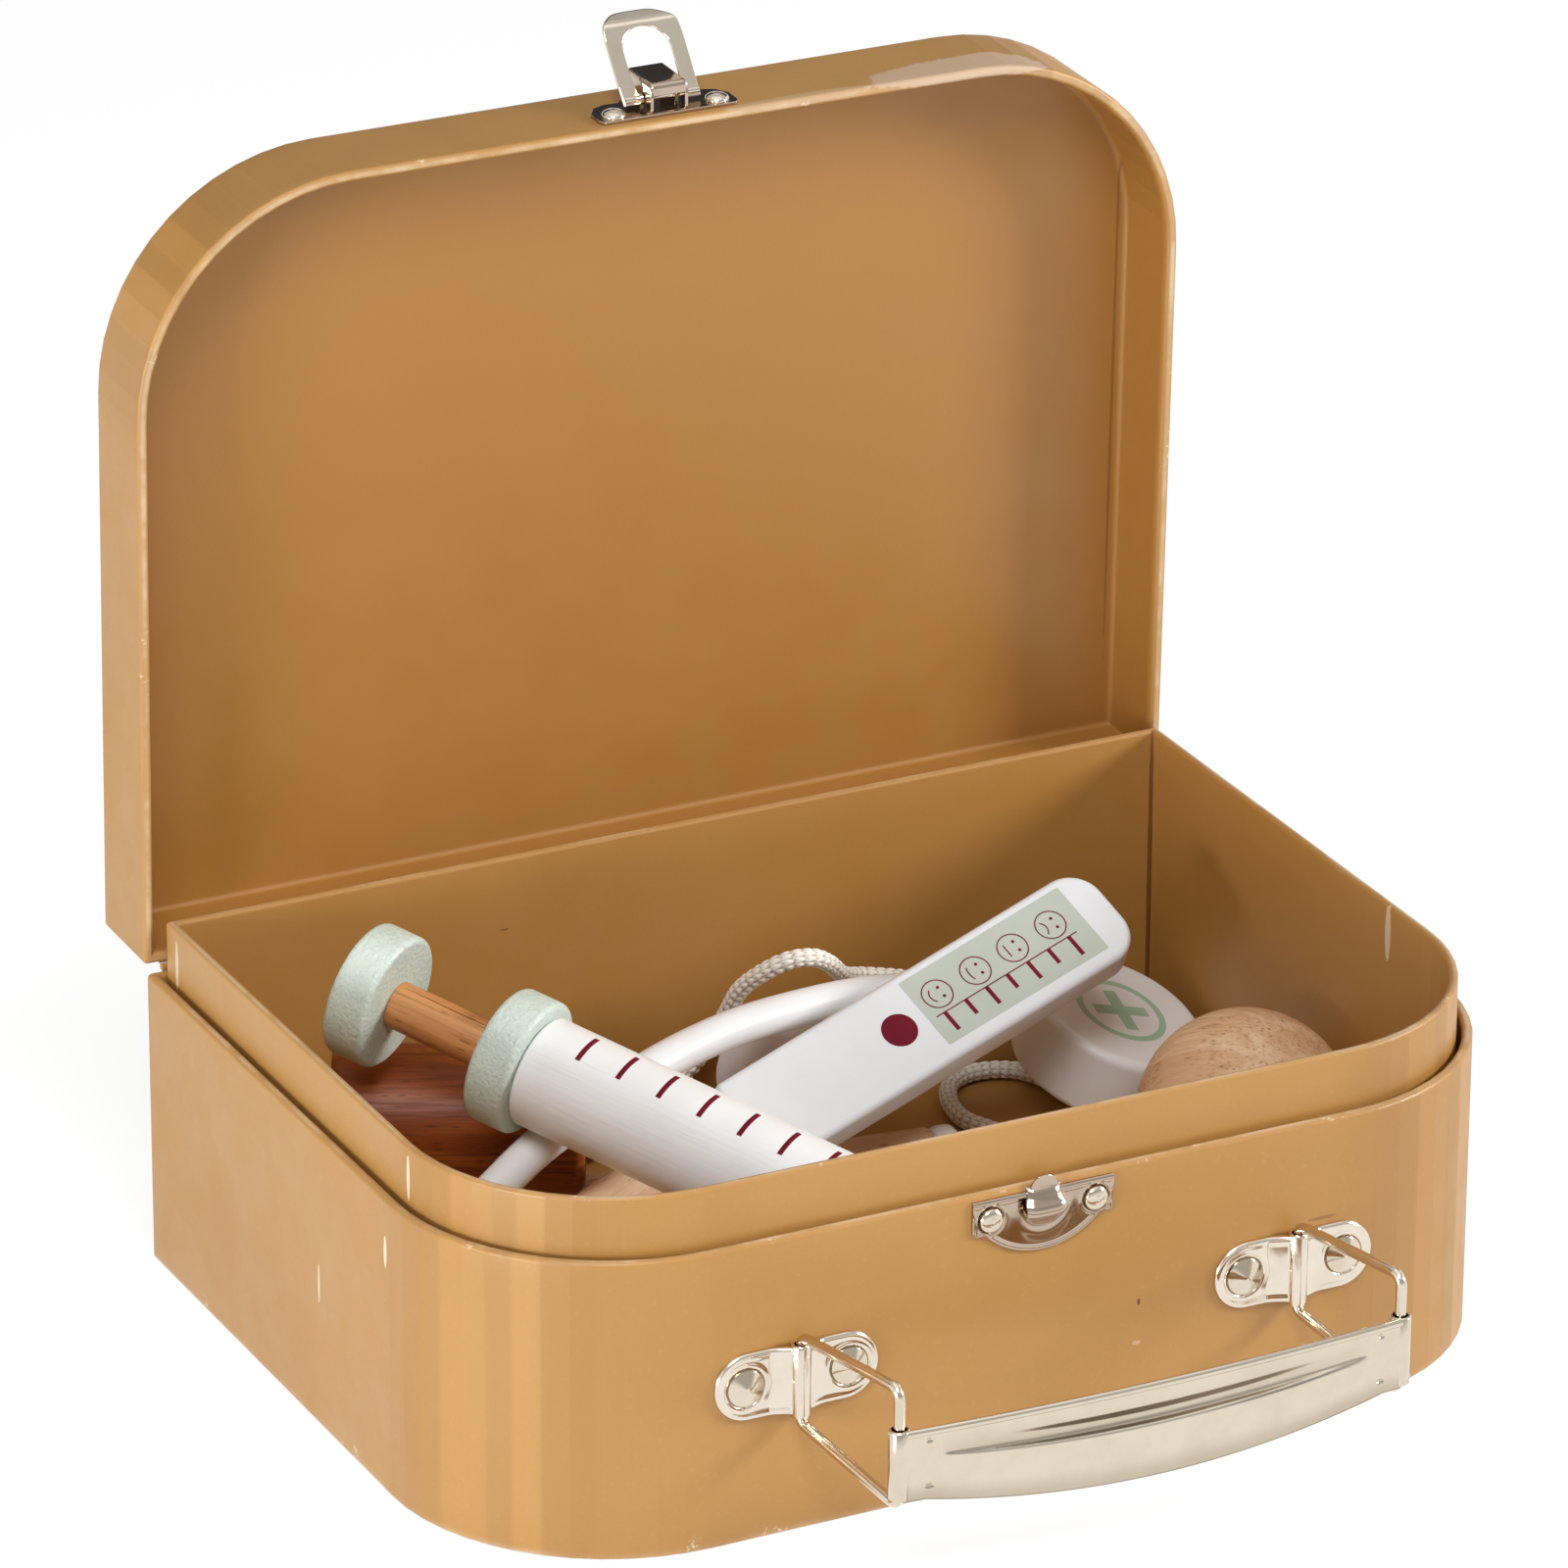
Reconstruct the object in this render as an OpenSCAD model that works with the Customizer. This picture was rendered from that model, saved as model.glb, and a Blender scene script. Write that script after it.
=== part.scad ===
// Toy doctor case: a paper-covered board case with a hinged lid, a snap hasp, a swinging wire handle
// and the wooden doctor's toys that lie in it. Millimetres, +Z up, origin under the middle of the base.

/* [Case] */
// Width of the case, left to right
case_w = 250; // [250:1:280]
// Depth of the case, front to hinge
case_d = 176; // [176:1:200]
// Height of the outer wall of the base
base_h = 68; // [67:1:74]
// Radius of the two round front corners, outside
corner_r = 50; // [46:1:60]
// Thickness of the covered board of the outer walls
board_t = 2.4; // [1.6:0.1:2.8]
// Thickness of the bottom board
bottom_t = 3; // [2:0.1:3.2]

/* [Liner] */
// Height of the inner wall, above the table
liner_h = 81; // [76:1:82]
// Gap between the outer wall and the inner wall
liner_gap = 1.1; // [0.9:0.1:1.6]
// Thickness of the inner wall
liner_t = 2; // [1.2:0.1:2.2]
// Thickness of the card that lines the floor
floor_card_t = 1; // [0.6:0.1:1.4]

/* [Lid] */
// Depth of the lid's wall
lid_h = 22.8; // [21:0.1:30]
// Air between the closed lid's wall and the base's wall
lid_gap = 0.3; // [0.2:0.05:0.5]
// Thickness of the card that lines the lid
lid_card_t = 0.8; // [0.5:0.1:1.2]
// Angle of the open lid in the photograph, from closed
lid_open = 88.5; // [60:0.5:120]
// Thickness of the paper hinge strip
strip_t = 0.6; // [0.4:0.1:0.7]
// Height of the hinge strip on the base's back wall
strip_h = 22; // [12:1:40]

/* [Hasp] */
// Width of the hasp's plate and of the catch's plate
plate_w = 33; // [32:0.5:38]
// Thickness of all the sheet steel
sheet_t = 0.8; // [0.6:0.1:1]
// Distance between the two rivets of a plate
rivet_pitch = 24.6; // [23.6:0.2:26]
// Diameter of the small rivets' heads
small_rivet_d = 5.2; // [4:0.1:5.6]
// Sideways place of the hasp and the catch
hasp_x = 0.6; // [-20:0.2:20]
// Height of the hasp's plate along the lid's wall
hasp_plate_h = 12; // [11:0.5:14]
// Height of the hasp's pin above the lid's rim
hasp_pin_up = 7.4; // [6.6:0.2:8]
// Distance of the hasp's pin from the wall
hasp_pin_out = 2.8; // [2.8:0.1:3.2]
// Diameter of the hasp's pin
hasp_pin_d = 1.6; // [1.2:0.1:1.8]
// Width of the hasp's spring housing
housing_w = 9; // [7.6:0.2:9.2]
// Height of the housing out from the wall
housing_out = 7; // [6.6:0.2:8]
// Width of the hasp's arm
arm_w = 18.4; // [17.6:0.2:20]
// Length of the arm from its pin to its bent lip
arm_l = 17.4; // [16:0.2:20]
// Length of the bent lip
lip_l = 4.6; // [3:0.2:5]
// Angle of the lifted arm, from latched
arm_lift = 130; // [90:1:150]

/* [Catch] */
// Height of the catch's plate at its two ends
catch_end_h = 8.2; // [7.6:0.2:10]
// Height of the catch's plate in the middle
catch_mid_h = 14; // [13:0.2:18]
// Width of the catch's hook
hook_w = 6.4; // [5:0.2:6.6]
// How far the hook stands out from the plate
hook_out = 3.8; // [3.4:0.2:4.4]
// How far the hook's round tab stands above the plate
hook_up = 3.4; // [2:0.2:4]

/* [Handle] */
// Distance of each handle bracket's middle from the case's side
bracket_inset = 66.5; // [64:0.5:70]
// Height of the handle's middle above the table
handle_z = 36; // [32:0.5:50]
// Length of a bracket's plate
bracket_l = 37.8; // [34:0.2:42]
// Height of a bracket's plate
bracket_h = 15.4; // [14:0.2:18]
// Height of the bracket's knuckle that holds the wire
knuckle_h = 16.6; // [15:0.2:20]
// Diameter of the brackets' cone rivets
big_rivet_d = 9.4; // [7:0.2:9.8]
// Diameter of the handle wire
wire_d = 2.4; // [2:0.1:3]
// Air around the wire in its knuckle and in the grip, on the radius
wire_play = 0.06; // [0.03:0.01:0.1]
// Reach of a wire loop from its bracket to the grip
loop_reach = 34.5; // [30:0.5:40]
// How far the loop's upper arm rises towards the grip
loop_rise = 2.4; // [1:0.1:5]
// How far the loop's lower arm drops towards the grip
loop_drop = 4.6; // [2:0.1:5]
// Swing of the handle in the photograph, from straight out
handle_swing = 8.5; // [0:0.5:40]
// Height of the grip at its ends
grip_h = 15.8; // [12:0.2:18]
// How far the grip's lower edge bows down
grip_sag = 5.4; // [2:0.2:8]
// How far the grip bulges out
grip_bulge = 4.6; // [2:0.2:6]
// Thickness of the grip
grip_t = 2.4; // [1.6:0.2:2.6]

/* [Syringe] */
// Diameter of the barrel
barrel_d = 24.6; // [20:0.2:25]
// Length of the barrel
barrel_l = 85; // [60:1:90]
// Diameter of the mint discs
disc_d = 30.4; // [27:0.2:31]
// Thickness of the mint discs
disc_t = 9.6; // [7:0.2:10]
// Diameter of the plunger rod
rod_d = 10.6; // [8:0.2:11]
// Air between the rod and its bore, on the radius
rod_play = 0.08; // [0.03:0.01:0.1]
// Length of rod that shows when it is pulled out
rod_out = 26; // [15:0.5:26]
// Diameter of the piston at the rod's inner end
piston_d = 13; // [12:0.2:14]

/* [Thermometer] */
// Length of the wooden thermometer
thermo_l = 102.5; // [90:0.5:103]
// Width of the thermometer
thermo_w = 24.2; // [18:0.2:24.4]
// Thickness of the thermometer
thermo_t = 9; // [6:0.2:9]

/* [Stethoscope] */
// Diameter of the chest piece
chest_d = 41.8; // [36:0.2:42]
// Thickness of the chest piece
chest_t = 17.4; // [14:0.2:17.4]
// Diameter of the bow's tube
bow_d = 8.4; // [6:0.2:8.4]
// Diameter of an ear tip
ear_tip_d = 11; // [9:0.2:12]
// Diameter of the knitted cord
cord_d = 4.2; // [3:0.1:4.2]

/* [Beech toys] */
// Diameter of the big turned cylinder
cylinder_d = 32.4; // [28:0.2:32.4]
// Length of the big turned cylinder
cylinder_l = 55; // [45:1:55]
// Diameter of the stick that lies on the floor
stick_d = 14.4; // [10:0.2:14.4]
// Length of that stick
stick_l = 104; // [80:1:106]
// Diameter of the ear viewer's handle
viewer_handle_d = 16; // [12:0.2:16]
// Length of the ear viewer's handle
viewer_handle_l = 101; // [80:1:101]
// Diameter of the ear viewer's head
viewer_head_d = 30; // [24:0.5:30]
// Length of the ear viewer's head
viewer_head_l = 20; // [14:0.5:20]
// Diameter of the turned ball
ball_d = 48.4; // [40:0.2:50]

/* [Hidden] */
$fn = 64;

ochre = "#c8a064";
ochre_dark = "#b07d3e";
mint = "#cfdbcd";
white_paint = "#f2f0ee";
beech = "#cda07d";
nickel = "#d6d0c6";
cotton = "#e6ded2";

front_y = -case_d / 2;
back_y = case_d / 2;
floor_z = bottom_t + floor_card_t;
liner_inset = board_t + liner_gap;
inside_inset = liner_inset + liner_t;
eps = 0.02;

// The hinge line lies just behind the outer back wall, at the height of its top edge.
fold_r = 0.7;
fold_out = 1;
fold_up = 0.3;
hinge_y = back_y + fold_out;
hinge_z = base_h + fold_up;

// The inside of the closed lid, which the toys stay under.
lid_top = base_h + lid_h;
lid_panel_t = board_t;

// The case's outline, drawn in by a given inset: round in front, square at the hinge.
module outline(inset) {
    r = corner_r - inset;
    hull() {
        for (side = [-1, 1]) {
            translate([side * (case_w / 2 - corner_r), front_y + corner_r]) circle(r, $fn = 96);
            translate([side * (case_w / 2 - inset - 0.5), back_y - inset - 0.5]) square(1, center = true);
        }
    }
}

module board(inset, z0, z1) {
    translate([0, 0, z0]) linear_extrude(z1 - z0) outline(inset);
}

module ring(inset, thick, z0, z1) {
    difference() {
        board(inset, z0, z1);
        board(inset + thick, z0 - 1, z1 + 1);
    }
}

// Turns the Z axis to lean by tilt from upright, towards the compass angle turn.
module lean(tilt, turn) { rotate([0, tilt, turn]) children(); }

// A turned disc or rod with rounded edges, along +Z.
module turned(d, l, edge, steps = 5) {
    r = d / 2;
    arc = [for (i = [0 : steps]) 90 * i / steps];
    rotate_extrude()
        polygon(concat([[0, 0]],
            [for (a = arc) [r - edge + edge * sin(a), edge - edge * cos(a)]],
            [for (a = arc) [r - edge + edge * cos(a), l - edge + edge * sin(a)]],
            [[0, l]]));
}

// Holes for a pair of rivets, through what lies behind their plate.
module rivet_pair(pitch, d, l) {
    for (side = [-1, 1]) translate([side * pitch / 2, 0, 0]) rotate([90, 0, 0]) cylinder(d = d, h = l, center = true);
}

// ---- outer walls of the base
catch_top = base_h - 1.4;
rivet_hole_d = 2.1;
small_rivet_z = catch_top - 4.6;
big_hole_d = 3.1;
bracket_rivet_pitch = bracket_l - bracket_h + 1.4;
bracket_pitch = case_w - 2 * bracket_inset;
bracket_x = [-bracket_pitch / 2 + 2.2, bracket_pitch / 2 + 2.2];

module base_wall() {
    color(ochre) difference() {
        ring(0, board_t, 0, base_h);
        translate([hasp_x, front_y, small_rivet_z]) rivet_pair(rivet_pitch, rivet_hole_d, 20);
        for (x = bracket_x) translate([x, front_y, handle_z]) rivet_pair(bracket_rivet_pitch, big_hole_d, 20);
    }
}

module base_bottom() {
    color(ochre) board(board_t, 0, bottom_t);
}

module floor_card() {
    color(ochre_dark) board(inside_inset, bottom_t, floor_z);
}

// The inner wall is two pieces: a round one along the front and sides, and a straight one at the back.
module liner_front() {
    color(ochre) difference() {
        ring(liner_inset, liner_t, bottom_t, liner_h);
        translate([-case_w, back_y - inside_inset, 0]) cube([2 * case_w, inside_inset, liner_h + 1]);
    }
}

module liner_back() {
    inner_w = case_w - 2 * liner_inset;
    color(ochre) translate([-inner_w / 2, back_y - inside_inset, bottom_t])
        cube([inner_w, liner_t, liner_h - bottom_t]);
}

// ---- paper hinge: a strip on each wall and the rolled fold between them
strip_w = case_w - 8;

module hinge_strip_base() {
    color(ochre) {
        translate([-strip_w / 2, back_y, base_h - strip_h]) cube([strip_w, strip_t, strip_h]);
        translate([0, hinge_y, hinge_z]) rotate([0, 90, 0]) cylinder(r = fold_r, h = strip_w, center = true);
    }
}

// What is drawn in its closed place and then turned open about the hinge line.
module on_lid() {
    translate([0, hinge_y, hinge_z]) rotate([-lid_open, 0, 0]) translate([0, -hinge_y, -hinge_z]) children();
}

module hinge_strip_lid() {
    above = hinge_z + fold_r + 0.25;
    color(ochre) on_lid()
        translate([-strip_w / 2, back_y + eps, above]) cube([strip_w, strip_t, lid_top - above - 0.4]);
}

// ---- lid
hasp_rivet_z = base_h + 5.4;

module lid_wall() {
    color(ochre) on_lid() difference() {
        ring(0, board_t, base_h + lid_gap, lid_top);
        translate([hasp_x, front_y, hasp_rivet_z]) rivet_pair(rivet_pitch, rivet_hole_d, 20);
    }
}

module lid_panel() {
    color(ochre) on_lid() board(board_t + eps, lid_top - lid_panel_t, lid_top);
}

module lid_card() {
    color(ochre_dark) on_lid()
        board(board_t + 0.2, lid_top - lid_panel_t - lid_card_t, lid_top - lid_panel_t - eps);
}

// ---- rivets, drawn with the head towards -Y and the wall's outer face at y = 0
module small_rivet() {
    head_h = 1.5;
    r = small_rivet_d / 2;
    sphere_r = (r * r + head_h * head_h) / (2 * head_h);
    rotate([90, 0, 0]) {
        translate([0, 0, sheet_t]) intersection() {
            translate([0, 0, head_h - sphere_r]) sphere(sphere_r);
            cylinder(d = small_rivet_d, h = head_h);
        }
        translate([0, 0, -board_t]) cylinder(d = rivet_hole_d - 0.1, h = board_t + sheet_t + 0.2);
        translate([0, 0, -board_t - 0.3]) cylinder(d = 4, h = 0.3);
    }
}

module big_rivet() {
    rotate([90, 0, 0]) {
        translate([0, 0, sheet_t]) cylinder(d = big_rivet_d, h = 0.5);
        translate([0, 0, sheet_t + 0.5]) cylinder(d1 = big_rivet_d, d2 = 0.8, h = 1.7);
        translate([0, 0, -board_t]) cylinder(d = big_hole_d - 0.1, h = board_t + sheet_t + 0.2);
        translate([0, 0, -board_t - 0.5]) cylinder(d = 6, h = 0.5);
    }
}

module catch_rivets() {
    color(nickel) for (side = [-1, 1])
        translate([hasp_x + side * rivet_pitch / 2, front_y, small_rivet_z]) small_rivet();
}

module hasp_rivets() {
    color(nickel) on_lid() for (side = [-1, 1])
        translate([hasp_x + side * rivet_pitch / 2, front_y, hasp_rivet_z]) small_rivet();
}

module bracket_rivets() {
    color(nickel) for (x = bracket_x, side = [-1, 1])
        translate([x + side * bracket_rivet_pitch / 2, front_y, handle_z]) big_rivet();
}

// ---- catch: a plate with a half-round foot and a bent hook with a round tab
module catch_plate() {
    foot_r = (pow(catch_mid_h - catch_end_h, 2) + pow(plate_w / 2 - 3, 2)) / (2 * (catch_mid_h - catch_end_h));
    hook = [[0, -6.4], [-1, -6.4], [-1, -4.6], [-hook_out, -4.2], [-hook_out, -3.4], [-2 * sheet_t, -0.6],
        [-2 * sheet_t, hook_up], [-sheet_t, hook_up], [-sheet_t, -0.8], [0, -2]];
    color(nickel) translate([hasp_x, front_y, catch_top]) {
        rotate([90, 0, 0]) linear_extrude(sheet_t) difference() {
            union() {
                translate([-plate_w / 2, -catch_end_h]) square([plate_w, catch_end_h]);
                intersection() {
                    translate([0, foot_r - catch_mid_h]) circle(foot_r, $fn = 96);
                    translate([-plate_w / 2 + 3, -catch_mid_h]) square([plate_w - 6, catch_mid_h]);
                }
            }
            for (side = [-1, 1])
                translate([side * rivet_pitch / 2, small_rivet_z - catch_top]) circle(d = rivet_hole_d);
        }
        intersection() {
            translate([-hook_w / 2, -sheet_t, 0]) rotate([90, 0, 90]) linear_extrude(hook_w) polygon(hook);
            translate([0, 0, hook_up - hook_w / 2]) rotate([90, 0, 0]) {
                cylinder(d = hook_w, h = 20);
                translate([-hook_w / 2, -20, 0]) cube([hook_w, 20, 20]);
            }
        }
    }
}

// ---- hasp on the lid, drawn in its closed place
hasp_z = base_h + hasp_pin_up;
hasp_pin_y = front_y - hasp_pin_out;
housing_depth = 12;
housing_low = base_h + 3.4;
leg_gap = 0.3;
ear_w = (arm_w - housing_w) / 2 - leg_gap;
pin_play = 0.06;

module hasp_plate() {
    low = base_h + 2.4;
    color(nickel) on_lid() difference() {
        union() {
            translate([hasp_x, front_y, low]) rotate([90, 0, 0]) linear_extrude(sheet_t)
                polygon([[-plate_w / 2 + 1.2, 0], [plate_w / 2 - 1.2, 0], [plate_w / 2, 1.6],
                    [plate_w / 2, hasp_plate_h - 5.4], [plate_w / 2 - 5, hasp_plate_h - 2.4],
                    [8, hasp_plate_h - 1.6], [6, hasp_plate_h], [-6, hasp_plate_h], [-8, hasp_plate_h - 1.6],
                    [-plate_w / 2 + 5, hasp_plate_h - 2.4], [-plate_w / 2, hasp_plate_h - 5.4],
                    [-plate_w / 2, 1.6]]);
            translate([hasp_x - housing_w / 2, front_y - housing_out, housing_low])
                cube([housing_w, housing_out - sheet_t / 2, housing_depth]);
        }
        translate([hasp_x - housing_w / 2 + sheet_t, front_y - housing_out + sheet_t, housing_low - 1])
            cube([housing_w - 2 * sheet_t, housing_out - 2 * sheet_t, housing_depth + 2]);
        translate([hasp_x - housing_w / 2 + 1.8, front_y - housing_out - 1, housing_low + 1.4])
            cube([housing_w - 3.6, 3, 3.6]);
        translate([hasp_x, front_y, hasp_rivet_z]) rivet_pair(rivet_pitch, rivet_hole_d, 6);
        translate([hasp_x, hasp_pin_y, hasp_z]) rotate([0, 90, 0])
            cylinder(d = hasp_pin_d + 2 * pin_play, h = housing_w + 2, center = true);
    }
}

module hasp_pin() {
    color(nickel) on_lid() translate([hasp_x, hasp_pin_y, hasp_z]) rotate([0, 90, 0])
        cylinder(d = hasp_pin_d, h = arm_w - 0.8, center = true);
}

// A bent leaf inside the housing that bears on the arm's pin.
module hasp_spring() {
    leaf_w = housing_w - 2 * sheet_t - 0.8;
    leaf_t = 0.4;
    inner = front_y - housing_out + sheet_t;
    over_pin = hasp_pin_y - hasp_pin_d / 2 - 0.1;
    color(nickel) on_lid() translate([hasp_x - leaf_w / 2, 0, 0]) rotate([90, 0, 90]) linear_extrude(leaf_w)
        polygon([[inner + 0.02, housing_low + housing_depth - 0.6], [inner + 0.02, housing_low + 6.4],
            [over_pin - leaf_t, hasp_z + 0.6], [over_pin - leaf_t, hasp_z - 1.6], [over_pin, hasp_z - 1.6],
            [over_pin, hasp_z + 0.8], [inner + leaf_t + 0.02, housing_low + 6.8],
            [inner + leaf_t + 0.02, housing_low + housing_depth - 0.6]]);
}

// The arm is drawn latched, hanging from the pin, and then lifted. Its side profile has the eye and
// the bent lip, and its front outline has the D-shaped hole that passes round the housing.
module hasp_arm() {
    hole_w = housing_w + 2 * leg_gap + 1.6;
    hole_far = arm_l - 1.2;
    ear_r = 1.6;
    bend = 40;
    lip_y = lip_l * sin(bend);
    lip_z = lip_l * cos(bend);
    color(nickel) on_lid() translate([hasp_x, hasp_pin_y, hasp_z]) rotate([-arm_lift, 0, 0]) difference() {
        union() {
            rotate([0, 90, 0]) cylinder(r = ear_r, h = arm_w, center = true);
            intersection() {
                rotate([90, 0, 90]) linear_extrude(arm_w, center = true)
                    polygon([[0, 0], [0, -arm_l], [-lip_y, -arm_l - lip_z],
                        [-lip_y - sheet_t * cos(bend), -arm_l - lip_z + sheet_t * sin(bend)],
                        [-sheet_t, -arm_l + sheet_t * tan(bend / 2)], [-sheet_t, 0]]);
                rotate([90, 0, 0]) linear_extrude(30, center = true) polygon([[-arm_w / 2 - 1, 3],
                    [-arm_w / 2 - 1, -arm_l + 0.4], [-arm_w / 2 + 4.4, -arm_l - lip_z - 0.4],
                    [arm_w / 2 - 4.4, -arm_l - lip_z - 0.4], [arm_w / 2 + 1, -arm_l + 0.4], [arm_w / 2 + 1, 3]]);
            }
        }
        rotate([0, 90, 0]) cylinder(d = hasp_pin_d + 2 * pin_play, h = arm_w + 2, center = true);
        rotate([90, 0, 0]) linear_extrude(8, center = true) {
            translate([0, -hole_far + hole_w / 2]) circle(d = hole_w);
            translate([-hole_w / 2, -hole_far + hole_w / 2]) square([hole_w, hole_far - hole_w / 2 - 2.4]);
            translate([-housing_w / 2 - leg_gap, -hole_far + hole_w / 2]) square([housing_w + 2 * leg_gap, hole_far]);
        }
    }
}

// ---- handle
wire_y = front_y - sheet_t - 0.4 - wire_d / 2 - wire_play;
knuckle_r = wire_d / 2 + wire_play + sheet_t;
pivot_span = knuckle_h / 2 + wire_d / 2 + 0.4;
grip_z = handle_z - pivot_span - loop_drop + wire_d / 2 + 0.8 + grip_h / 2;
roll_r = wire_d / 2 + wire_play + 1;

module bracket(x) {
    color(nickel) translate([x, front_y, handle_z]) difference() {
        union() {
            rotate([90, 0, 0]) linear_extrude(sheet_t) hull()
                for (side = [-1, 1]) translate([side * (bracket_l - bracket_h) / 2, 0]) circle(d = bracket_h);
            translate([-knuckle_r - 0.6, -sheet_t - 1, -knuckle_h / 2])
                cube([2 * knuckle_r + 1.2, sheet_t + 1, knuckle_h]);
            translate([0, wire_y - front_y, 0]) cylinder(r = knuckle_r, h = knuckle_h, center = true);
        }
        translate([0, wire_y - front_y, 0])
            cylinder(d = wire_d + 2 * wire_play, h = knuckle_h + 2, center = true);
        rivet_pair(bracket_rivet_pitch, big_hole_d, 6);
    }
}

module bracket_left() { bracket(bracket_x[0]); }
module bracket_right() { bracket(bracket_x[1]); }

// A straight piece of wire between two points, with a bend's ball, a touch thicker, at its first end.
bend_d = wire_d + 0.06;

module wire(a, b) {
    v = b - a;
    l = norm(v);
    translate(a) {
        sphere(d = bend_d, $fn = 48);
        rotate([0, acos(v[2] / l), atan2(v[1], v[0])]) cylinder(d = wire_d, h = l, $fn = 48);
    }
}

module wire_loop(x) {
    reach = [0, -loop_reach, 0];
    top = [0, 0, pivot_span];
    high = reach + top + [0, 0, loop_rise];
    low = reach - top - [0, 0, loop_drop];
    color(nickel) translate([x, wire_y, handle_z]) rotate([0, 0, handle_swing]) {
        wire(-top, top);
        wire(top, high);
        wire(high, low);
        wire(low, -top);
    }
}

module wire_loop_left() { wire_loop(bracket_x[0]); }
module wire_loop_right() { wire_loop(bracket_x[1]); }

// Where a point that swings with the loops lies.
function swung(y) = [-y * sin(handle_swing), y * cos(handle_swing)];

// Straight along its top edge, bowed along its lower edge and bulged out, with a roll at each end.
module grip() {
    at = swung(-loop_reach);
    half = bracket_pitch / 2;
    sag_half = half - 5;
    sag_r = (sag_half * sag_half + grip_sag * grip_sag) / (2 * grip_sag);
    bulge_r = (half * half + grip_bulge * grip_bulge) / (2 * grip_bulge);
    play_d = wire_d + 2 * wire_play;
    color(nickel) translate([(bracket_x[0] + bracket_x[1]) / 2 + at[0], wire_y + at[1], grip_z]) difference() {
        union() {
            intersection() {
                translate([-half, -20, -grip_h / 2 - grip_sag]) cube([2 * half, 40, grip_h + grip_sag]);
                union() {
                    translate([-half, -20, -grip_h / 2]) cube([2 * half, 40, grip_h]);
                    translate([0, 20, sag_r - grip_h / 2 - grip_sag]) rotate([90, 0, 0])
                        cylinder(r = sag_r, h = 40, $fn = 180);
                }
                difference() {
                    translate([0, bulge_r - grip_bulge - grip_t / 2, -30]) cylinder(r = bulge_r, h = 60, $fn = 180);
                    translate([0, bulge_r - grip_bulge + grip_t / 2, -31]) cylinder(r = bulge_r, h = 62, $fn = 180);
                }
            }
            for (side = [-1, 1]) translate([side * half, 0, 0]) cylinder(r = roll_r, h = grip_h, center = true);
        }
        for (side = [-1, 1]) translate([side * half, 0, 0])
            cylinder(d = play_d + (side > 0 ? 0.5 : 0), h = 60, center = true);
    }
}

// ---- syringe, drawn along +Z from the collar's far face, plunger side below
syringe_at = [-63.9, 19.6, 61.2];
syringe_tilt = 102.3;
syringe_turn = -55.3;
piston_l = 5;
bore_play = 0.3;

module in_syringe() {
    translate(syringe_at) lean(syringe_tilt, syringe_turn) children();
}

neck_d = 9;
neck_l = 9;
disc_edge = 1.2;

module syringe_barrel() {
    bore_l = rod_out + piston_l + 4;
    color(white_paint) in_syringe() difference() {
        union() {
            turned(barrel_d, barrel_l, disc_edge);
            translate([0, 0, barrel_l - 1]) turned(neck_d, neck_l, disc_edge);
        }
        translate([0, 0, -1]) cylinder(d = piston_d + 2 * bore_play, h = bore_l + 1);
    }
}

module syringe_collar() {
    color(mint) in_syringe() translate([0, 0, -disc_t]) difference() {
        turned(disc_d, disc_t, disc_edge);
        translate([0, 0, -1]) cylinder(d = rod_d + 2 * rod_play, h = disc_t + 2);
    }
}

into_cap = 5;

module plunger_rod() {
    color(beech) in_syringe() {
        translate([0, 0, -disc_t - rod_out - into_cap]) cylinder(d = rod_d, h = into_cap + rod_out + disc_t + 1);
        translate([0, 0, 0.4]) cylinder(d = piston_d, h = piston_l);
    }
}

module plunger_cap() {
    color(mint) in_syringe() translate([0, 0, -disc_t - rod_out - disc_t]) difference() {
        turned(disc_d, disc_t, disc_edge);
        translate([0, 0, disc_t - into_cap]) cylinder(d = rod_d, h = into_cap + 1);
    }
}

// ---- thermometer: a flat bar with one round end
thermo_at = [35.5, 29.7, 47.6];
thermo_turn = [31.3, -15.7, 8.6];

module thermometer() {
    end_r = 8;
    color(white_paint) translate(thermo_at) rotate(thermo_turn) linear_extrude(thermo_t, center = true) hull() {
        for (side = [-1, 1]) {
            translate([thermo_l / 2 - end_r, side * (thermo_w / 2 - end_r)]) circle(end_r);
            translate([-thermo_l / 2 + 2, side * (thermo_w / 2 - 2)]) circle(2);
        }
    }
}

// ---- stethoscope
chest_from_wall = 27.7;
chest_edge = 1.6;
chest_at = [case_w / 2 - inside_inset - chest_from_wall, 57.8, floor_z + 8.5];
chest_tilt = 22.8;
chest_turn = -46.3;

module chest_piece() {
    color(white_paint) translate(chest_at) lean(chest_tilt, chest_turn) turned(chest_d, chest_t, chest_edge);
}

// A tube swept along route points: rings square to the route, joined by faces, with flat ends.
function unit(v) = v / norm(v);
function way(p, i) = unit(p[min(i + 1, len(p) - 1)] - p[max(i - 1, 0)]);
function side_of(t) = unit(cross(t, abs(t[2]) < 0.9 ? [0, 0, 1] : [0, 1, 0]));
function spline(a, b, c, d, t) = 0.5 * (2 * b + (c - a) * t + (2 * a - 5 * b + 4 * c - d) * t * t
    + (3 * b - a - 3 * c + d) * t * t * t);
function smooth(p, n) = concat([for (i = [0 : len(p) - 2], k = [0 : n - 1])
    spline(p[max(i - 1, 0)], p[i], p[i + 1], p[min(i + 2, len(p) - 1)], k / n)], [p[len(p) - 1]]);
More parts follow.
